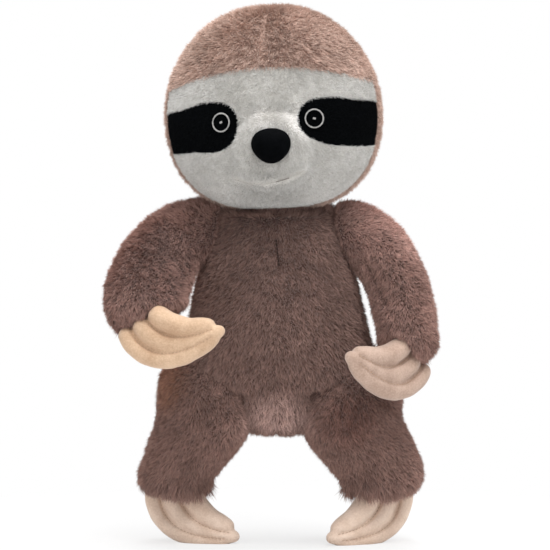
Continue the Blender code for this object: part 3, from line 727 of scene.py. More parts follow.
class Tree:
    """Adds nodes to a tree, linking sockets and setting plain values."""

    def __init__(self, tree):
        self.tree = tree

    def add(self, kind, inputs=None, **settings):
        made = self.tree.nodes.new(kind)
        for key, value in settings.items():
            setattr(made, key, value)
        for key, value in (inputs or {}).items():
            self.feed(made.inputs[key], value)
        return made

    def feed(self, socket, value):
        if isinstance(value, bpy.types.NodeSocket):
            self.tree.links.new(value, socket)
        else:
            socket.default_value = value

    def maths(self, operation, a, b=None, c=None):
        inputs = {index: value for index, value in enumerate((a, b, c)) if value is not None}
        return self.add("ShaderNodeMath", inputs, operation=operation).outputs[0]

    def vector(self, operation, a, b=None, scale=None):
        made = self.add("ShaderNodeVectorMath", {0: a}, operation=operation)
        if b is not None:
            self.feed(made.inputs[1], b)
        if scale is not None:
            self.feed(made.inputs["Scale"], scale)
        return made.outputs["Value" if operation in ("DOT_PRODUCT", "LENGTH") else "Vector"]

    def named(self, name, kind):
        inputs = {"Name": name}
        return self.add("GeometryNodeInputNamedAttribute", inputs, data_type=kind).outputs["Attribute"]

    def store(self, geometry, name, kind, domain, value):
        inputs = {"Geometry": geometry, "Name": name, "Value": value}
        made = self.add("GeometryNodeStoreNamedAttribute", inputs, data_type=kind, domain=domain)
        return made.outputs["Geometry"]

    def scaled(self, vector, scale):
        return self.vector("SCALE", vector, scale=scale)

    def over(self, value):
        return self.maths("DIVIDE", 1.0, value)

    def combined(self, *parts):
        return self.add("ShaderNodeCombineXYZ", dict(enumerate(parts))).outputs[0]

    def parts(self, vector):
        return self.add("ShaderNodeSeparateXYZ", {0: vector}).outputs

    def position(self):
        return self.add("GeometryNodeInputPosition").outputs[0]

    def noise(self, vector, scale, detail):
        return self.add("ShaderNodeTexNoise", {"Vector": vector, "Scale": scale, "Detail": detail}).outputs

    def drawn(self, low, high, seed):
        """A random number between two, drawn for each point."""
        inputs = {2: low, 3: high, "Seed": seed}
        return self.add("FunctionNodeRandomValue", inputs, data_type="FLOAT").outputs[1]

    def facing(self, inputs, **settings):
        return self.add("FunctionNodeAlignRotationToVector", inputs, **settings).outputs["Rotation"]

    def placed(self, inputs):
        return self.add("GeometryNodeInstanceOnPoints", inputs).outputs[0]

    def realized(self, grown):
        return self.add("GeometryNodeRealizeInstances", {0: grown}).outputs[0]

    def finished(self, geometry, finish):
        """Ends the tree with its material."""
        painted = self.add("GeometryNodeSetMaterial", {"Geometry": geometry, "Material": finish})
        self.add("NodeGroupOutput", {0: painted.outputs[0]})


PILE_SIZES = (
    "Density", "Length", "Thickness", "Lean", "Swirl", "Scatter",
    "Clump size", "Mottle size", "Middle", "Half",
)
FULLEST_DENSITY = 1.2
STRAND_STRETCH = (0.70, 1.15)
STRAND_ROOT_DEPTH = 0.0003


def new_group(name, geometry, sizes):
    """An empty Geometry Nodes tree with its named inputs and one output."""
    group = bpy.data.node_groups.new(name, "GeometryNodeTree")
    sockets = [(geometry, "Geometry")] + [(size, "Float") for size in sizes]
    for label, kind in sockets + [("Seed", "Int"), ("Finish", "Material")]:
        group.interface.new_socket(label, in_out="INPUT", socket_type="NodeSocket" + kind)
    group.interface.new_socket("Made", in_out="OUTPUT", socket_type="NodeSocketGeometry")
    return group, Tree(group)


def chosen_half(tree, given):
    """Picks what lies on one side of the skin's middle, or all of it where the half is zero."""
    depth = tree.parts(tree.position())["Y"]
    ahead = tree.maths("MULTIPLY", tree.maths("SUBTRACT", depth, given["Middle"]), given["Half"])
    compared = {"A": ahead, "B": 0.0}
    return tree.add("FunctionNodeCompare", compared, data_type="FLOAT", operation="GREATER_EQUAL").outputs[0]


def strand_turn(tree, given, up):
    """How a strand stands: leaning along the comb direction, swirled with its clump and a little wild."""
    comb = tree.named("comb", "FLOAT_VECTOR")
    flat = tree.vector("SUBTRACT", comb, tree.scaled(up, tree.vector("DOT_PRODUCT", comb, up)))
    clump = tree.noise(tree.scaled(tree.position(), tree.over(given["Clump size"])), 1.0, 1.0)["Color"]
    swirl = tree.scaled(tree.vector("SUBTRACT", clump, (0.5, 0.5, 0.5)), given["Swirl"])
    wild_inputs = {0: (-1.0, -1.0, -1.0), 1: (1.0, 1.0, 1.0), "Seed": given["Seed"]}
    wild = tree.add("FunctionNodeRandomValue", wild_inputs, data_type="FLOAT_VECTOR").outputs["Value"]
    lean = tree.scaled(tree.vector("NORMALIZE", flat), tree.maths("SINE", given["Lean"]))
    rise = tree.scaled(up, tree.maths("COSINE", given["Lean"]))
    bend = tree.vector("ADD", swirl, tree.scaled(wild, given["Scatter"]))
    return tree.facing({"Vector": tree.vector("ADD", tree.vector("ADD", lean, rise), bend)}, axis="Z")


def strand_shape(tree):
    """A thin cone that knows its reach from root to tip, and its spot in a tile of the bake map."""
    cone = {
        "Vertices": 3, "Side Segments": 1, "Fill Segments": 1,
        "Radius Top": 0.0, "Radius Bottom": 1.0, "Depth": 1.0,
    }
    strand = tree.add("GeometryNodeMeshCone", cone, fill_type="NGON").outputs["Mesh"]
    parts = tree.parts(tree.position())
    strand = tree.store(strand, "reach", "FLOAT", "POINT", parts["Z"])
    across = tree.maths("MULTIPLY_ADD", parts["Y"], 0.5, 0.5)
    along = tree.maths("MULTIPLY_ADD", parts["X"], -0.1, tree.maths("MULTIPLY_ADD", parts["Z"], 0.85, 0.1))
    return tree.store(strand, "spot", "FLOAT_VECTOR", "POINT", tree.combined(across, along))


def pile_tree():
    """Strands over a skin: leaning along its comb direction, drawn together in clumps."""
    group, tree = new_group("Pile", "Skin", PILE_SIZES)
    given = tree.add("NodeGroupInput").outputs
    pile = tree.named("pile", "FLOAT")
    scatter = {
        "Mesh": given["Skin"], "Selection": chosen_half(tree, given), "Seed": given["Seed"],
        "Density": tree.maths("MULTIPLY", given["Density"], tree.maths("MINIMUM", pile, FULLEST_DENSITY)),
    }
    roots = tree.add("GeometryNodeDistributePointsOnFaces", scatter, distribute_method="RANDOM").outputs
    points = tree.store(roots["Points"], "up", "FLOAT_VECTOR", "POINT", roots["Normal"])
    up = tree.named("up", "FLOAT_VECTOR")
    stretch = tree.drawn(*STRAND_STRETCH, tree.maths("ADD", given["Seed"], 7))
    high = tree.maths("MULTIPLY", tree.maths("MULTIPLY", given["Length"], stretch), pile)
    rooted = {"Geometry": points, "Offset": tree.scaled(up, -STRAND_ROOT_DEPTH)}
    grown = tree.placed({
        "Points": tree.add("GeometryNodeSetPosition", rooted).outputs[0],
        "Instance": strand_shape(tree),
        "Rotation": strand_turn(tree, given, up),
        "Scale": tree.combined(given["Thickness"], given["Thickness"], high),
    })
    tone = tree.drawn(0.0, 1.0, tree.maths("ADD", given["Seed"], 3))
    grown = tree.store(grown, "tone", "FLOAT", "INSTANCE", tone)
    here = tree.scaled(tree.position(), tree.over(given["Mottle size"]))
    grown = tree.store(grown, "mottle", "FLOAT", "INSTANCE", tree.noise(here, 1.0, 2.0)["Fac"])
    size = tree.add("GeometryNodeAttributeDomainSize", {0: grown}, component="INSTANCES")
    tiles_across = tree.maths("CEIL", tree.maths("SQRT", size.outputs["Instance Count"]))
    index = tree.add("GeometryNodeInputIndex").outputs[0]
    row = tree.maths("FLOOR", tree.maths("DIVIDE", index, tiles_across))
    column = tree.maths("SUBTRACT", index, tree.maths("MULTIPLY", row, tiles_across))
    grown = tree.store(grown, "tile", "FLOAT_VECTOR", "INSTANCE", tree.combined(column, row))
    whole = tree.realized(grown)
    here = tree.vector("ADD", tree.named("tile", "FLOAT_VECTOR"), tree.named("spot", "FLOAT_VECTOR"))
    whole = tree.store(whole, "OFBake", "FLOAT2", "CORNER", tree.scaled(here, tree.over(tiles_across)))
    for spare in ("tile", "spot", "up", "comb", "pile"):
        whole = tree.add("GeometryNodeRemoveAttribute", {"Geometry": whole, "Name": spare}).outputs[0]
    tree.finished(whole, given["Finish"])
    return group


STITCH_SIZES = ("Spacing", "Length", "Width", "Height")
STITCH_STRETCH = (0.88, 1.10)


def stitch_tree():
    """Stitches along a row of points, each lying on the surface that the row follows."""
    group, tree = new_group("Stitches", "Row", STITCH_SIZES)
    given = tree.add("NodeGroupInput").outputs
    row = tree.add("GeometryNodeMeshToCurve", {"Mesh": given["Row"]}).outputs[0]
    spacing = {"Curve": row, "Length": given["Spacing"]}
    along = tree.add("GeometryNodeInputTangent").outputs[0]
    upright = tree.facing({"Vector": tree.named("out", "FLOAT_VECTOR")}, axis="Z")
    size = tree.combined(given["Length"], given["Width"], given["Height"])
    bead = {"Segments": 6, "Rings": 5, "Radius": 1.0}
    whole = tree.realized(tree.placed({
        "Points": tree.add("GeometryNodeResampleCurve", spacing, mode="LENGTH").outputs[0],
        "Instance": tree.add("GeometryNodeMeshUVSphere", bead).outputs["Mesh"],
        "Rotation": tree.facing({"Rotation": upright, "Vector": along}, axis="X", pivot_axis="Z"),
        "Scale": tree.scaled(size, tree.drawn(*STITCH_STRETCH, given["Seed"])),
    }))
    tree.finished(tree.add("GeometryNodeSetShadeSmooth", {0: whole}).outputs[0], given["Finish"])
    return group


def made_by(group, base, name, seed, finish, sizes):
    """What a Geometry Nodes tree makes from an object, as a plain mesh of its own with one finish."""
    modifier = base.modifiers.new(group.name, "NODES")
    modifier.node_group = group
    values = {"Seed": seed, "Finish": finish, **sizes}
    for item in group.interface.items_tree:
        if item.in_out == "INPUT" and item.name in values:
            modifier[item.identifier] = values[item.name]
    mesh = evaluated_mesh(base)
    base.modifiers.remove(modifier)
    mesh.materials.clear()
    mesh.materials.append(finish)
    mesh.polygons.foreach_set("material_index", [0] * len(mesh.polygons))
    mesh.name = name
    return link(bpy.data.objects.new(name, mesh))


def grow_pile(group, skin, name, body, slot, finish, seed, **sizes):
    """Grows strands on a skin and makes them a plain mesh of their own."""
    values = {key.capitalize().replace("_", " "): value for key, value in sizes.items()}
    strands = made_by(group, skin, name, seed, finish, values)
    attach(strands, body)


def grow_halves(group, skin, name, body, slot, finish, seed, middle, density, **sizes):
    """The pile of a large piece in two meshes, its front and its back."""
    for half, sign, share in (("front", -1, density[0]), ("back", 1, density[1])):
        place = {"middle": middle, "half": sign, "density": share}
        grow_pile(group, skin, f"{name}_{half}", body, slot, finish, seed, **place, **sizes)


def sew(group, name, lines, body, finish, size):
    """Rows of stitches on points with their outward directions; size is spacing, length, width, height."""
    bm = bmesh.new()
    ways = []
    for line, closed in lines:
        verts = [bm.verts.new(point) for point, _ in line]
        ways += [value for _, out in line for value in out]
        for a, b in zip(verts, verts[1:] + verts[:1] if closed else verts[1:]):
            bm.edges.new((a, b))
    row = mesh_object(name + "_row", bm)
    row.data.attributes.new("out", "FLOAT_VECTOR", "POINT").data.foreach_set("vector", ways)
    stitches = made_by(group, row, name, 5, finish, dict(zip(STITCH_SIZES, size)))
    bpy.data.objects.remove(row, do_unlink=True)
    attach(stitches, body)
    return stitches


def write_fields(skin, comb, pile):
    """Stores the direction that a skin's pile is combed in, and how full it is, on each vertex."""
    spots = [(vertex.co.copy(), vertex.normal.copy()) for vertex in skin.data.vertices]
    directions = [value for place, _ in spots for value in comb(place)]
    skin.data.attributes.new("comb", "FLOAT_VECTOR", "POINT").data.foreach_set("vector", directions)
    shares = [pile(place, normal) for place, normal in spots]
    skin.data.attributes.new("pile", "FLOAT", "POINT").data.foreach_set("value", shares)


def depth_inside(tree, place):
    """How deep a place lies in a closed form, or below zero how far it is outside."""
    distance = tree.find_nearest(place)[3]
    start, inside = place, False
    while distance < PROBE_REACH:
        point = tree.ray_cast(start, PROBE_WAY)[0]
        if point is None:
            break
        start = point + PROBE_WAY * PROBE_STEP
        inside = not inside
    return distance if inside else -distance


# Materials

def linear(red, green, blue):
    """A colour as the eye reads it on a screen, from 0 to 255, made linear."""
    shares = [value / 255 for value in (red, green, blue)]
    return tuple(share / 12.92 if share <= 0.04045 else ((share + 0.055) / 1.055) ** 2.4 for share in shares)


def new_material(name, roughness, sheen=0.0, specular=0.2):
    material = bpy.data.materials.new(name)
    material.use_nodes = True
    tree = Tree(material.node_tree)
    shader = material.node_tree.nodes["Principled BSDF"]
    shader.inputs["Roughness"].default_value = roughness
    shader.inputs["Sheen Weight"].default_value = sheen
    shader.inputs["Sheen Roughness"].default_value = 0.5
    shader.inputs["Specular IOR Level"].default_value = specular
    return material, tree, shader


def blended(tree, share, low, high, kind="MIX"):
    mixed = tree.add("ShaderNodeMix", {"Factor": share}, data_type="RGBA", blend_type=kind)
    for index, value in ((6, low), (7, high)):
        tree.feed(mixed.inputs[index], (*value, 1.0) if isinstance(value, tuple) else value)
    return mixed.outputs[2]


def object_place(tree):
    return tree.add("ShaderNodeTexCoord").outputs["Object"]


def wandering(tree, size, detail=3.0):
    """Soft noise from 0 to 1 with patches of about one size, fixed to the piece."""
    return tree.noise(object_place(tree), 1 / size, detail)["Fac"]


def spread(tree, value, low, high):
    """A value stretched so that its low and high ends become 0 and 1."""
    inputs = {"Value": value, "From Min": low, "From Max": high}
    return tree.add("ShaderNodeMapRange", inputs).outputs["Result"]


SPOT_CORE_SHARE = 0.3
FUR_ROUGHNESS = 0.85
# How far a strand's colour goes from root to tip: its own part, the least, and how soon it pales
TONE_PART, LEAST_TONE, PALING = 0.6, 0.5, 0.8
# Mottling of the fur: size of a patch, its part beside the strand's own, and the ends it is stretched from
MOTTLE_SIZE, MOTTLE_PART, MOTTLE_ENDS = 0.020, 0.45, (0.38, 0.62)
# Patches of a cloth: size and part of the fine ones, part of the wide ones, and the ends stretched from
FINE_SIZE, FINE_PART, WIDE_PART, CLOTH_ENDS = 0.0011, 0.4, 0.6, (0.36, 0.64)
NAP_SIZE = 0.0006
FINE_DETAIL = 2.0


def near_spot(tree, centre, radius):
    """1 at a place on the toy, fading to 0 at a radius from it."""
    distance = tree.vector("LENGTH", tree.vector("SUBTRACT", object_place(tree), tuple(TOY + Vector(centre))))
    inputs = {"Value": distance, "From Min": radius, "From Max": SPOT_CORE_SHARE * radius}
    return tree.add("ShaderNodeMapRange", inputs, interpolation_type="SMOOTHSTEP").outputs["Result"]


def pile_material(name, root, tip, low, high, sheen=0.2, spots=(), specular=0.2):
    """Strands dark at the root and pale at the tip, each a little different, in mottled tufts."""
    material, tree, shader = new_material(name, FUR_ROUGHNESS, sheen, specular)
    reach, tone, mottle = (
        tree.add("ShaderNodeAttribute", attribute_name=label).outputs["Fac"]
        for label in ("reach", "tone", "mottle")
    )
    own = tree.maths("MULTIPLY_ADD", tone, TONE_PART, LEAST_TONE)
    share = tree.maths("MULTIPLY", tree.maths("POWER", reach, PALING), own)
    strand = blended(tree, share, linear(*root), linear(*tip))
    strand_part = tree.maths("MULTIPLY", mottle, 1 - MOTTLE_PART)
    patches = tree.maths("MULTIPLY_ADD", wandering(tree, MOTTLE_SIZE), MOTTLE_PART, strand_part)
    tint = blended(tree, spread(tree, patches, *MOTTLE_ENDS), low, high)
    colour = blended(tree, 1.0, strand, tint, "MULTIPLY")
    # Each spot multiplies the colour near a place on the toy; some are painted highlights and painted shade
    for centre, radius, change in spots:
        changed = blended(tree, 1.0, colour, change, "MULTIPLY")
        colour = blended(tree, near_spot(tree, centre, radius), colour, changed)
    tree.feed(shader.inputs["Base Color"], colour)
    return material


def cloth_material(name, low, high, size, roughness=0.9, sheen=0.3, bump=0.0, specular=0.2):
    """Knitted backing or velour: two near colours in soft patches with a fine nap."""
    material, tree, shader = new_material(name, roughness, sheen, specular)
    fine = tree.maths("MULTIPLY", wandering(tree, FINE_SIZE, FINE_DETAIL), FINE_PART)
    patches = spread(tree, tree.maths("MULTIPLY_ADD", wandering(tree, size), WIDE_PART, fine), *CLOTH_ENDS)
    tree.feed(shader.inputs["Base Color"], blended(tree, patches, linear(*low), linear(*high)))
    if bump:
        nap = {"Height": wandering(tree, NAP_SIZE, FINE_DETAIL), "Distance": bump, "Strength": 1.0}
        tree.feed(shader.inputs["Normal"], tree.add("ShaderNodeBump", nap).outputs[0])
    return material


# Soft spots of colour on the pile, some of them painted highlights and painted shade: place on the toy,
# radius, and share of each colour
CROTCH_SPOT = ((0.0, -0.036, 0.078), 0.028, (2.20, 2.45, 2.60))
# Painted shade: darker, redder leg fur on the front of the toy's left thigh, where it meets the belly
THIGH_PAINTED_SHADE = ((0.045, -0.038, 0.082), 0.026, (0.84, 0.74, 0.72))
HIP_SPOT = ((-0.070, -0.020, 0.105), 0.026, (1.16, 1.02, 0.86))
# Painted highlight: paler arm fur over the top of the toy's left shoulder, where light falls from above
SHOULDER_PAINTED_HIGHLIGHT = ((0.076, -0.006, 0.205), 0.040, (1.50, 1.57, 1.61))
# Painted light and shade on the face pile: two painted highlights on the top of the muzzle, painted shade in
# the crease above it, and painted shade over the lower face and chin
FACE_PAINTED_LIGHT_AND_SHADE = (
    ((0.012, -0.060, 0.2740), 0.0160, (1.42, 1.42, 1.45)),
    ((-0.008, -0.060, 0.2730), 0.0160, (1.42, 1.42, 1.45)),
    ((0.002, -0.056, 0.2850), 0.0110, (0.84, 0.84, 0.83)),
    ((-0.004, -0.048, 0.222), 0.036, (0.80, 0.80, 0.80)),
)


def make_materials():
    """Every finish of the toy; screen colours from 0 to 255, then patch size, roughness, sheen and nap."""
    cloth, fur = cloth_material, pile_material
    brown = (0.76, 0.73, 0.72), (1.16, 1.14, 1.13)
    rose = (0.82, 0.80, 0.78), (1.10, 1.09, 1.08)
    white = (0.84, 0.84, 0.83), (1.02, 1.02, 1.02)
    black = (0.85, 0.85, 0.9), (1.0, 1.0, 1.0)
    velour = 0.014, 0.9, 0.25, 0.00015
    thread = 0.003, 0.8, 0.1
    fine_thread = 0.003, 0.7, 0.1
    return {
        "backing": cloth("Fur backing", (84, 63, 57), (106, 82, 75), 0.010),
        "hood backing": cloth("Hood backing", (142, 114, 101), (162, 134, 121), 0.010),
        "torso fur": fur("Torso fur", (102, 78, 71), (180, 148, 137), *brown, spots=(CROTCH_SPOT,)),
        "arm fur": fur("Arm fur", (112, 84, 76), (204, 166, 154), *brown, spots=(SHOULDER_PAINTED_HIGHLIGHT,)),
        "leg fur": fur(
            "Leg fur", (106, 80, 73), (190, 155, 143), *brown, spots=(CROTCH_SPOT, THIGH_PAINTED_SHADE, HIP_SPOT)
        ),
        "hood fur": fur("Hood fur", (166, 137, 124), (232, 206, 193), *rose, 0.12),
        "face backing": cloth("Face backing", (186, 182, 176), (206, 203, 198), 0.010),
        "face pile": fur("Face pile", (192, 189, 184), (242, 241, 239), *white, 0.2, FACE_PAINTED_LIGHT_AND_SHADE),
        "patch backing": cloth("Patch backing", (2, 3, 4), (6, 7, 8), 0.006, sheen=0.0, specular=0.03),
        "patch pile": fur("Patch pile", (2, 3, 4), (19, 21, 23), *black, 0.0, (), 0.03),
        "nose velour": cloth("Nose velour", (2, 3, 4), (6, 7, 9), 0.004, 0.85, 0.0, 0.0001, 0.03),
        "hand velour": cloth("Hand velour", (188, 155, 126), (216, 186, 157), *velour),
        # Painted shade: a darker, pinker copy of the hand velour for the toy's left hand
        "shaded hand velour": cloth("Hand velour with painted shade", (166, 140, 124), (196, 170, 154), *velour),
        "foot velour": cloth("Foot velour", (211, 184, 164), (237, 214, 196), *velour),
        # The seams between the claws are real; the thread's colour, darker than the velour, is painted shade
        # in the grooves
        "claw seam": cloth("Claw seam thread with painted shade", (172, 143, 119), (190, 161, 137), *thread),
        "body seam": cloth("Body seam thread", (34, 23, 20), (48, 34, 30), *thread),
        "mouth thread": cloth("Mouth thread", (182, 178, 172), (198, 195, 190), *fine_thread),
        "mouth stitch": cloth("Mouth stitch thread", (120, 114, 108), (142, 137, 131), *fine_thread),
        "eye thread": cloth("Eye thread", (158, 156, 154), (188, 186, 184), 0.002, 0.6, 0.1),
        "fibre": cloth("Stuffing fibre", (224, 223, 219), (240, 239, 236), 0.006, bump=0.0002),
    }


# Fields that the pile follows

def closed_tree(thing):
    bm = bmesh.new()
    bm.from_mesh(thing.data)
    tree = BVHTree.FromBMesh(bm)
    bm.free()
    return tree


BURIED_DEPTH = 0.0016
NEAR_LEG = 0.0050
RUFF_START_Z = NECKLINE_Z - 0.0010
# Where the pile grows longer over a mitt's root: along the limb, and across it
CUFF_HEIGHT = (0.004, 0.013)
CUFF_SIDE = (-0.012, 0.018)
CUFF_LEAST, CUFF_GROWTH = 0.4, 1.2
# Pile beside a neighbour: the distance over which it reaches its length, and its length where it is shortest
PILE_FADE = 0.0042
ARM_PILE_FADE = 0.003
SHORTEST_SHARE = 0.38
BESIDE_LEG_GROWTH = 1.35
# Partings in the pile along a seam or crease: width, and the share of its length that is left there
CREASE_PARTING = (0.0024, 0.30)
BELLY_PARTING = (0.0020, 0.80)
THREAD_PARTING = (0.0022, 0.45)
HOOD_PARTING = (0.0030, 0.45)
# The ruff round the neck: least length, growth to the sides, growth over its inner edge, and comb
RUFF_LEAST, RUFF_GROWTH, RUFF_SHARE = 1.15, 0.55, 0.8
RUFF_INNER = (0.020, 0.024)
RUFF_COMB_OUT, RUFF_COMB_DEPTH = 0.4, 0.0045
# How far the torso's pile is combed outward: everywhere, and beside the belly seam
COMB_ASIDE, COMB_PARTING, COMB_PARTING_SIDE = 0.15, 0.35, (0.001, 0.006)


def clear_of(trees, fade=PILE_FADE):
    """Full pile away from the neighbours, short beside them where it fades, and none inside them."""
    def pile(place, normal):
        buried = max(depth_inside(tree, place) for tree in trees)
        if buried > BURIED_DEPTH:
            return 0.0
        return SHORTEST_SHARE + (1 - SHORTEST_SHARE) * ramp(-buried, 0.0, fade) if fade else 1.0
    return pile


def cuffed(pile, matrix, toward):
    """The same pile, longer where it falls over the root of a mitt, most of all on one side."""
    inverse = matrix.inverted()
    def longer(place, normal):
        local = inverse @ place
        share = CUFF_LEAST + CUFF_GROWTH * ramp(toward * local.x, *CUFF_SIDE)
        return pile(place, normal) * (1 + share * (1 - ramp(local.z, *CUFF_HEIGHT)))
    return longer


def parted(pile, line, width, least):
    """The same pile, thin along the line of a seam or crease on the front."""
    def thinned(place, normal):
        share = pile(place, normal)
        if normal.y > 0:
            return share
        return share * (least + (1 - least) * ramp(line_distance(line, place), 0.0, width))
    return thinned


def route_comb(route):
    """A comb direction that runs along a limb."""
    def comb(place):
        best = None
        for before, after in zip(route, route[1:]):
            along = after - before
            share = min(max((place - before).dot(along) / along.length_squared, 0), 1)
            distance = (before + along * share - place).length
            if best is None or distance < best[0]:
                best = (distance, along.normalized())
        return best[1]
    return comb


def torso_comb(place):
    """Down and a little outward from the belly seam, but up and outward round the neck."""
    aside, ahead = beside_neck(place)
    parting = COMB_PARTING * (1 - ramp(abs(aside), *COMB_PARTING_SIDE))
    down = Vector(((COMB_ASIDE + parting) * math.copysign(1, aside), 0, -1))
    out = Vector((aside, ahead, 0)).normalized() * RUFF_COMB_OUT + Vector((0, 0, 1))
    rise = ramp(place.z, NECKLINE_Z - RUFF_COMB_DEPTH, RUFF_START_Z)
    return down.lerp(out, rise * ramp(ahead, *NECK_SIDE))


def torso_pile(arm_trees, leg_trees):
    """Short beside the arms and long beside the legs, with a ruff round the neck."""
    beside_arms, beside_legs = clear_of(arm_trees), clear_of(leg_trees, None)

    def pile(place, normal):
        share = min(beside_arms(place, normal), beside_legs(place, normal))
        if share and max(depth_inside(tree, place) for tree in leg_trees) > -NEAR_LEG:
            share *= BESIDE_LEG_GROWTH
        if place.z < RUFF_START_Z:
            return share
        aside, ahead = beside_neck(place)
        ruff = RUFF_LEAST + RUFF_GROWTH * ramp(ahead, *NECK_SIDE)
        return max(share, RUFF_SHARE) * ruff * ramp(math.hypot(aside, ahead), *RUFF_INNER)
    return pile


def declare_pad(piece, material, body, slot, fill, *nodes):
    """A finished stuffed piece: its material, the solids it stands for, and the body it rides on."""
    piece.data.materials.clear()
    piece.data.materials.append(material)
    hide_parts(*nodes)
    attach(piece, body)


# Building

LONG_PILE = {
    "length": 0.0044, "thickness": 0.00033, "lean": math.radians(44), "swirl": 2.1,
    "scatter": 0.34, "clump_size": 0.0036, "mottle_size": 0.0031,
}
SHORT_PILE = {
    "length": 0.0021, "thickness": 0.00030, "lean": math.radians(38), "swirl": 1.15,
    "scatter": 0.34, "clump_size": 0.0032, "mottle_size": 0.0036,
}


# Strands on a square metre; a pair is for the front and the back half
DENSITY = {
    "torso": (1.8e6, 1.75e6), "arm": 2.8e6, "leg": 2.2e6, "neck": 2.6e6,
    "hood": (2.3e6, 2.3e6), "face": 3.8e6, "patch": 3.9e6,
}
SEED = {"torso": 11, "neck": 12, "arm": 21, "leg": 31, "hood": 41, "face": 42, "patch": 43}
ARM_SWIRL = 1.6
HOOD_STRAND = {"length": 0.0042, "thickness": 0.00034}
PATCH_PILE_LENGTH = 0.0015
# Heights of threads above the skin that they lie on
BELLY_THREAD_LIFT = 0.0016
MOUTH_LIFT = 0.0013
MOUTH_STITCH_LIFT = 0.0014
EYE_THREAD_LIFT = 0.0017
FILLING_GAP = 0.0010
# Where the hood's pile is combed from, beside the top of the head, and where its two halves meet
CROWN_OFFSET = (0.002, 0.004)
HOOD_MIDDLE_Y = 0.024
# What counts as the outside of a head panel: within this distance of the form, and facing out by this much
OUTSIDE_REACH, OUTSIDE_FACING = 0.0004, 0.3
# The face's pile: its share of length at the mouth, where it grows from there, and its comb
MOUTH_SHARE, MOUTH_SIDE = 0.45, (0.0012, 0.0042)
FACE_COMB_ASIDE, FACE_COMB_BACK, FACE_COMB_DOWN = 0.7, 0.2, 0.026
PATCH_COMB = 0.4
NOSE_WIDENING = 0.06
NOSE_FLATTENING = 0.10
HIGHLIGHT_STEP, HIGHLIGHT_STEPS = 0.0001, 7
ICOSPHERE_LEVELS = 5


def belly_thread(tree):
    """Where the belly seam shows its thread, with the outward directions there."""
    (x, z), (next_x, next_z) = THREAD_STRETCH
    points = []
    for step in range(THREAD_STEPS):
        share = step / THREAD_STEPS
        across, up = x + share * (next_x - x), z + share * (next_z - z)
        start = TOY + Vector((across, -2 * TORSO_FRONT_DEPTH, up))
        point, normal, _, _ = tree.ray_cast(start, Vector((0, 1, 0)))
        points.append((point + normal * BELLY_THREAD_LIFT, normal))
    return points


def dress_limb(group, limb, kind, side, route, pile, materials, **sizes):
    """An arm or a leg: its skin and filling as one padded piece, and its fur."""
    body = f"{kind}_{side}"
    write_fields(limb, route_comb(route), pile)
    nodes = f"{kind}_cover_{side}", f"{kind}_stuffing_{side}"
    declare_pad(limb, materials["backing"], body, "fur", 0.85, *nodes)
    fur = materials[kind + " fur"]
    sizes["density"] = DENSITY[kind]
    grow_pile(group, limb, f"{kind}_fur_{side}", body, "fur", fur, SEED[kind], **sizes)


def build_body(trees, materials, mitts):
    group, stitches = trees
    torso = torso_form("torso_skin")
    arms = {side: arm_form("arm_skin_" + side, side) for side in SIDES}
    legs = {side: leg_form("leg_skin_" + side, side) for side in SIDES}
    head = head_form("head_whole")
    head.data.transform(head_matrix())
    torso_tree = closed_tree(torso)
    arm_trees = [closed_tree(arm) for arm in arms.values()]
    leg_trees = [closed_tree(leg) for leg in legs.values()]

    sewn = parted(torso_pile(arm_trees, leg_trees), BELLY_SEAM, *BELLY_PARTING)
    write_fields(torso, torso_comb, parted(sewn, THREAD_STRETCH, *THREAD_PARTING))
    declare_pad(torso, materials["backing"], "torso", "fur", 0.9, "torso_cover", "torso_stuffing")
    fur, seed = materials["torso fur"], SEED["torso"]
    grow_halves(group, torso, "torso_fur", "torso", "fur", fur, seed, TOY.y, DENSITY["torso"], **LONG_PILE)
    seam = [(belly_thread(torso_tree), False)]
    sew(stitches, "belly_seam", seam, "torso", materials["body seam"], BELLY_STITCH)

    for side, arm in arms.items():
        clear = clear_of([torso_tree, closed_tree(mitts["hand_" + side])], ARM_PILE_FADE)
        creased = parted(clear, ARM_CREASE[side], *CREASE_PARTING)
        pile = cuffed(creased, hand_matrix(side), SIDES[side])
        sizes = {**LONG_PILE, "swirl": ARM_SWIRL}
        dress_limb(group, arm, "arm", side, arm_route(side), pile, materials, **sizes)

    for side, leg in legs.items():
        clear = clear_of([torso_tree, closed_tree(mitts["foot_" + side])], None)
        pile = cuffed(clear, foot_matrix(side), -SIDES[side])
        dress_limb(group, leg, "leg", side, leg_route(side), pile, materials, **LONG_PILE)
    return head


def build_neck(pile, head, materials):
    """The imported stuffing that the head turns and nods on, with fur that closes the slit below the head."""
    bm = bmesh.new()
    bmesh.ops.create_icosphere(bm, subdivisions=ICOSPHERE_LEVELS, radius=NECK_RADIUS)
    for vertex in bm.verts:
        vertex.co += TOY + NECK_CENTRE
        vertex.co.z = max(vertex.co.z, NECKLINE_Z + SEWING_GAP)
    neck = mesh_object("neck_pad", bm)
    neck.data.shade_smooth()
    beside_head = clear_of([closed_tree(head)], None)

    def neck_pile(place, normal):
        return 0.0 if normal.z < -0.5 else beside_head(place, normal)

    write_fields(neck, lambda place: Vector((0, 0, 1)), neck_pile)
    declare_pad(neck, materials["backing"], "neck", "fibre", 1.0, "neck_stuffing")
    sizes = {**LONG_PILE, "density": DENSITY["neck"]}
    grow_pile(pile, neck, "neck_fur", "neck", "fur", materials["torso fur"], SEED["neck"], **sizes)


def build_filling(form, materials):
    """What fills the head: its own form, drawn in by the skin, with a hollow for the neck."""
    filling = link(bpy.data.objects.new("head_filling", form.data.copy()))
    centre = TOY + NECK_CENTRE
    hollow = NECK_RADIUS + NECK_PLAY

    def draw_in(place, normal):
        place -= normal * (PANEL_THICKNESS + FILLING_GAP)
        away = place - centre
        return centre + away.normalized() * hollow if away.length < hollow else place

    move_points(filling, draw_in)
    declare_pad(filling, materials["fibre"], "head", "fibre", 1.0, "head_stuffing")


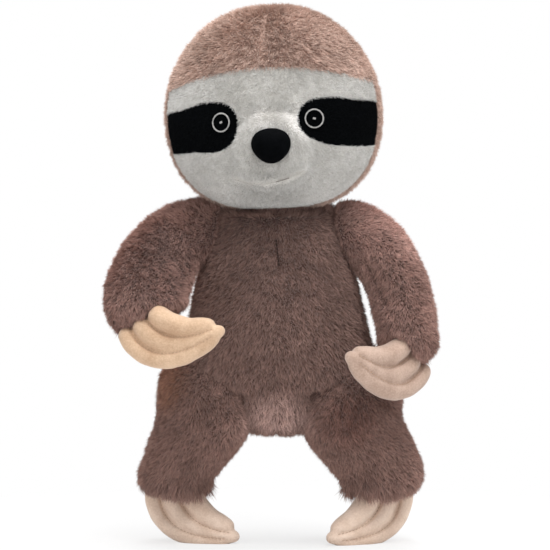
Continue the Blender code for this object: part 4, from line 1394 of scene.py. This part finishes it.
def front_point(tree, place, matrix):
    """Where a line from the front of the head meets its form, with the surface's direction there."""
    start = matrix @ Vector((place[0], -3 * HEAD_FRONT_DEPTH, place[1]))
    way = (matrix.to_3x3() @ Vector((0, 1, 0))).normalized()
    point, normal, _, _ = tree.ray_cast(start, way)
    return point, normal


def surface_line(tree, matrix, shares, lift, steps=8):
    """A line over the face through places given by shares of the head, lifted off its surface."""
    points = []
    for index, (start, end) in enumerate(zip(shares, shares[1:])):
        last = index == len(shares) - 2
        for step in range(steps + last):
            t = step / steps
            spot = face_spot(1, [a + t * (b - a) for a, b in zip(start, end)])
            point, normal = front_point(tree, spot, matrix)
            points.append((point + normal * lift, normal))
    return points


def head_panels(form, matrix):
    """The hood, the face and the eye patches, cut from one skin along their shared seams."""
    face_block = outline_block("face_block", face_outline(), matrix, False)
    patch_blocks = {
        side: outline_block("patch_block_" + side, patch_outline(side), matrix, True) for side in SIDES
    }
    bm = bmesh.new()
    at_neck = Matrix.Translation(TOY + NECK_CENTRE)
    bmesh.ops.create_icosphere(bm, subdivisions=4, radius=NECK_RADIUS + NECK_PLAY, matrix=at_neck)
    socket = mesh_object("neck_socket", bm)
    hood = skin_panel("hood_skin", form, [(face_block, "DIFFERENCE"), (socket, "DIFFERENCE")])
    holes = [(block, "DIFFERENCE") for block in patch_blocks.values()]
    face = skin_panel("face_skin", form, holes + [(face_block, "INTERSECT"), (socket, "DIFFERENCE")])
    patches = {
        side: skin_panel("patch_skin_" + side, form, [(block, "INTERSECT")])
        for side, block in patch_blocks.items()
    }
    for block in [face_block, socket] + list(patch_blocks.values()):
        bpy.data.objects.remove(block, do_unlink=True)
    return hood, face, patches


def build_head(form, trees, materials):
    group, stitches = trees
    matrix = head_matrix()
    hood, face, patches = head_panels(form, matrix)
    tree = closed_tree(form)
    nose_place, _ = front_point(tree, face_spot(1, NOSE_SPOT), matrix)
    crown = matrix @ Vector((*CROWN_OFFSET, HEAD_HALF_HEIGHT))
    mouth = surface_line(tree, matrix, MOUTH_LINE, MOUTH_LIFT)
    mouth_points = nearest_of([point for point, _ in mouth])

    def outer_only(place, normal):
        _, out, _, distance = tree.find_nearest(place)
        return 1.0 if distance < OUTSIDE_REACH and normal.dot(out) > OUTSIDE_FACING else 0.0

    def face_pile(place, normal):
        _, _, distance = mouth_points.find(place)
        return outer_only(place, normal) * (MOUTH_SHARE + (1 - MOUTH_SHARE) * ramp(distance, *MOUTH_SIDE))

    def face_comb(place):
        aside = place - nose_place
        return Vector((FACE_COMB_ASIDE * aside.x, FACE_COMB_BACK * abs(aside.x), -FACE_COMB_DOWN))

    write_fields(hood, lambda place: place - crown, parted(outer_only, HOOD_CREASE, *HOOD_PARTING))
    write_fields(face, face_comb, face_pile)
    declare_pad(hood, materials["hood backing"], "head", "hood_fur", 0.95, "head_hood")
    declare_pad(face, materials["face backing"], "head", "face_plush", 0.95, "face_panel")
    middle = (matrix @ Vector((0, HOOD_MIDDLE_Y, 0))).y
    sizes = {**LONG_PILE, **HOOD_STRAND}
    fur, seed = materials["hood fur"], SEED["hood"]
    grow_halves(group, hood, "hood_fur", "head", "hood_fur", fur, seed, middle, DENSITY["hood"], **sizes)
    sizes = {**SHORT_PILE, "density": DENSITY["face"]}
    fur, seed = materials["face pile"], SEED["face"]
    grow_pile(group, face, "face_pile", "head", "face_plush", fur, seed, **sizes)
    sizes = {**SHORT_PILE, "length": PATCH_PILE_LENGTH, "density": DENSITY["patch"]}
    fur, seed = materials["patch pile"], SEED["patch"]
    comb = Vector((0, PATCH_COMB, -PATCH_COMB))
    for side, patch in patches.items():
        write_fields(patch, lambda place, aside=Vector((SIDES[side], 0, 0)): aside + comb, outer_only)
        declare_pad(patch, materials["patch backing"], "head", "patch_plush", 0.95, "eye_patch_" + side)
        grow_pile(group, patch, "patch_pile_" + side, "head", "patch_plush", fur, seed, **sizes)
    build_filling(form, materials)
    build_nose(tree, matrix, materials)
    build_eyes(stitches, tree, matrix, materials)
    corner = surface_line(tree, matrix, MOUTH_STITCH, MOUTH_STITCH_LIFT, 3)
    threads = (
        ("mouth_line", mouth, "mouth thread", MOUTH_LINE_STITCH),
        ("mouth_stitch", corner, "mouth stitch", MOUTH_CORNER_STITCH),
    )
    for name, line, thread, size in threads:
        sew(stitches, name, [(line, False)], "head", materials[thread], size)
    bpy.data.objects.remove(form, do_unlink=True)


def build_nose(tree, matrix, materials):
    place, _ = front_point(tree, face_spot(1, NOSE_SPOT), matrix)
    bm = bmesh.new()
    bmesh.ops.create_icosphere(bm, subdivisions=ICOSPHERE_LEVELS, radius=1.0)
    wide, deep, high = NOSE_HALF_SIZE
    for vertex in bm.verts:
        unit = vertex.co.copy()
        taper = (1 + NOSE_WIDENING * unit.z) * (1 - NOSE_TAPER_SHARE * max(-unit.z, 0) ** 2)
        if unit.z > 0:
            unit.z *= 1 - NOSE_FLATTENING * (1 - unit.x**2)
        vertex.co = Vector((unit.x * wide * taper, unit.y * deep, unit.z * high))
    nose = mesh_object("nose_pad", bm)
    nose.data.transform(Matrix.Translation(place) @ matrix.to_3x3().to_4x4())
    nose.data.shade_smooth()
    declare_pad(nose, materials["nose velour"], "head", "nose_velour", 1.0, "nose")


def build_eyes(stitches, tree, matrix, materials):
    """An embroidered ring of satin stitches and a small highlight on each patch."""
    for side, sign in SIDES.items():
        place, normal = front_point(tree, face_spot(sign, EYE_SPOT), matrix)
        facing = Vector((0, 0, 1)).rotation_difference(normal).to_matrix().to_4x4()
        seat = Matrix.Translation(place + normal * EYE_THREAD_LIFT) @ facing
        ring = []
        for step in range(EYE_RING_STEPS):
            angle = 2 * math.pi * step / EYE_RING_STEPS
            spot = Vector((EYE_RING_RADIUS * math.cos(angle), EYE_RING_RADIUS * math.sin(angle), 0))
            ring.append((seat @ spot, normal))
        steps = range(-HIGHLIGHT_STEPS, HIGHLIGHT_STEPS + 1)
        dot = [(seat @ Vector((HIGHLIGHT_STEP * step, 0, 0)), normal) for step in steps]
        for node, line in (("eye_ring_", [(ring, True)]), ("eye_highlight_", [(dot, False)])):
            name, thread = node + "stitches_" + side, materials["eye thread"]
            piece = sew(stitches, name, line, "head", thread, EYE_STITCHES[node])
            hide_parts(node + side)


def build_mitts(stitches, materials):
    mitts = {}
    for side in SIDES:
        for part, matrix in (("hand", hand_matrix(side)), ("foot", foot_matrix(side))):
            name = f"{part}_mitt_{side}"
            mitt, lines = claw_mitt(name, side, matrix)
            body = f"{part}_{side}"
            # The toy's left hand takes the darker copy of the hand velour, which is painted shade
            velour = "foot velour" if part == "foot" else "shaded hand velour" if side == "left" else "hand velour"
            declare_pad(mitt, materials[velour], body, "claw_velour", 0.9, f"{part}_claws_{side}")
            rows = [(line, False) for line in lines if len(line) > 3]
            # Darker thread along the grooves between the claws, partly painted shade
            thread = materials["claw seam"]
            sew(stitches, f"{part}_seams_{side}", rows, body, thread, CLAW_STITCH)
            mitts[body] = mitt
    return mitts


def backdrop_seen(tree):
    """1 for what the camera sees, itself or in a reflection."""
    path = tree.add("ShaderNodeLightPath").outputs
    glossy = tree.maths("MAXIMUM", path["Is Glossy Ray"], path["Is Transmission Ray"])
    return tree.maths("MAXIMUM", path["Is Camera Ray"], glossy)


FLOOR_SIZE = 9.0
FLOOR_ROUGHNESS = 0.9
FLOOR_SHADE = 0.86
# Where the floor fades to white round the toy, and how far it does under it
FLOOR_FADE_ENDS, FLOOR_FADE = (0.06, 0.34), 0.35
AMBIENT_LIGHT = 0.45


def build_floor():
    """A pale floor that keeps the toy's shadow and fades into the white surround."""
    bm = bmesh.new()
    bmesh.ops.create_grid(bm, x_segments=1, y_segments=1, size=FLOOR_SIZE)
    floor = mesh_object("floor", bm)
    material, tree, shader = new_material("Pale floor", FLOOR_ROUGHNESS)
    shader.inputs["Base Color"].default_value = (FLOOR_SHADE, FLOOR_SHADE, FLOOR_SHADE, 1)
    white = spread(tree, tree.vector("LENGTH", object_place(tree)), *FLOOR_FADE_ENDS)
    white = tree.maths("MULTIPLY_ADD", white, FLOOR_FADE, 1 - FLOOR_FADE)
    white = tree.maths("MULTIPLY", backdrop_seen(tree), white)
    glow = tree.add("ShaderNodeEmission", {"Color": (1, 1, 1, 1), "Strength": 1.0}).outputs[0]
    mixed = tree.add("ShaderNodeMixShader", {0: white, 1: shader.outputs[0], 2: glow}).outputs[0]
    tree.feed(material.node_tree.nodes["Material Output"].inputs["Surface"], mixed)
    floor.data.materials.append(material)


def build_surround():
    world = bpy.data.worlds.new("Studio")
    bpy.context.scene.world = world
    world.use_nodes = True
    tree = Tree(world.node_tree)
    background = world.node_tree.nodes["Background"]
    background.inputs["Color"].default_value = (1, 1, 1, 1)
    strength = tree.maths("MULTIPLY_ADD", backdrop_seen(tree), 1 - AMBIENT_LIGHT, AMBIENT_LIGHT)
    tree.feed(background.inputs["Strength"], strength)


# Soft lamps: name, place, size and power
LAMPS = (
    ("key", (0.3, -1.1, 1.9), 1.0, 28.0),
    ("fill", (-1.3, -1.5, 0.5), 1.3, 5.0),
    ("rim", (1.3, 0.0, 1.0), 0.9, 4.5),
    ("top", (0.0, 0.2, 1.9), 1.0, 22.0),
)
LAMP_TARGET = Vector((0, 0, 0.18))
CAMERA_ELEVATION = math.radians(3.0)
CAMERA_DISTANCE = 2.4
CAMERA_TARGET = Vector((TOY.x - 0.0013, 0, 0.1757))
SENSOR_WIDTH = 36
VIEW_WIDTH = 0.3553
CLIP_END = 20


def build_lamps():
    for name, place, size, power in LAMPS:
        data = bpy.data.lights.new(name, "AREA")
        data.size = size
        data.energy = power
        lamp = link(bpy.data.objects.new(name, data))
        lamp.location = place
        lamp.rotation_euler = (LAMP_TARGET - Vector(place)).to_track_quat("-Z", "Y").to_euler()


def build_camera():
    data = bpy.data.cameras.new("camera")
    camera = link(bpy.data.objects.new("camera", data))
    away = Vector((0, -math.cos(CAMERA_ELEVATION), math.sin(CAMERA_ELEVATION)))
    camera.location = CAMERA_TARGET + away * CAMERA_DISTANCE
    camera.rotation_euler = (math.pi / 2 - CAMERA_ELEVATION, 0, 0)
    data.lens = SENSOR_WIDTH * CAMERA_DISTANCE / VIEW_WIDTH
    data.clip_end = CLIP_END
    bpy.context.scene.camera = camera
    bpy.context.scene.view_settings.view_transform = "Standard"


finishes = make_materials()
geometry_trees = (pile_tree(), stitch_tree())
mitt_pieces = build_mitts(geometry_trees[1], finishes)
head_whole = build_body(geometry_trees, finishes, mitt_pieces)
build_neck(geometry_trees[0], head_whole, finishes)
build_head(head_whole, geometry_trees, finishes)
build_floor()
build_surround()
build_lamps()
build_camera()
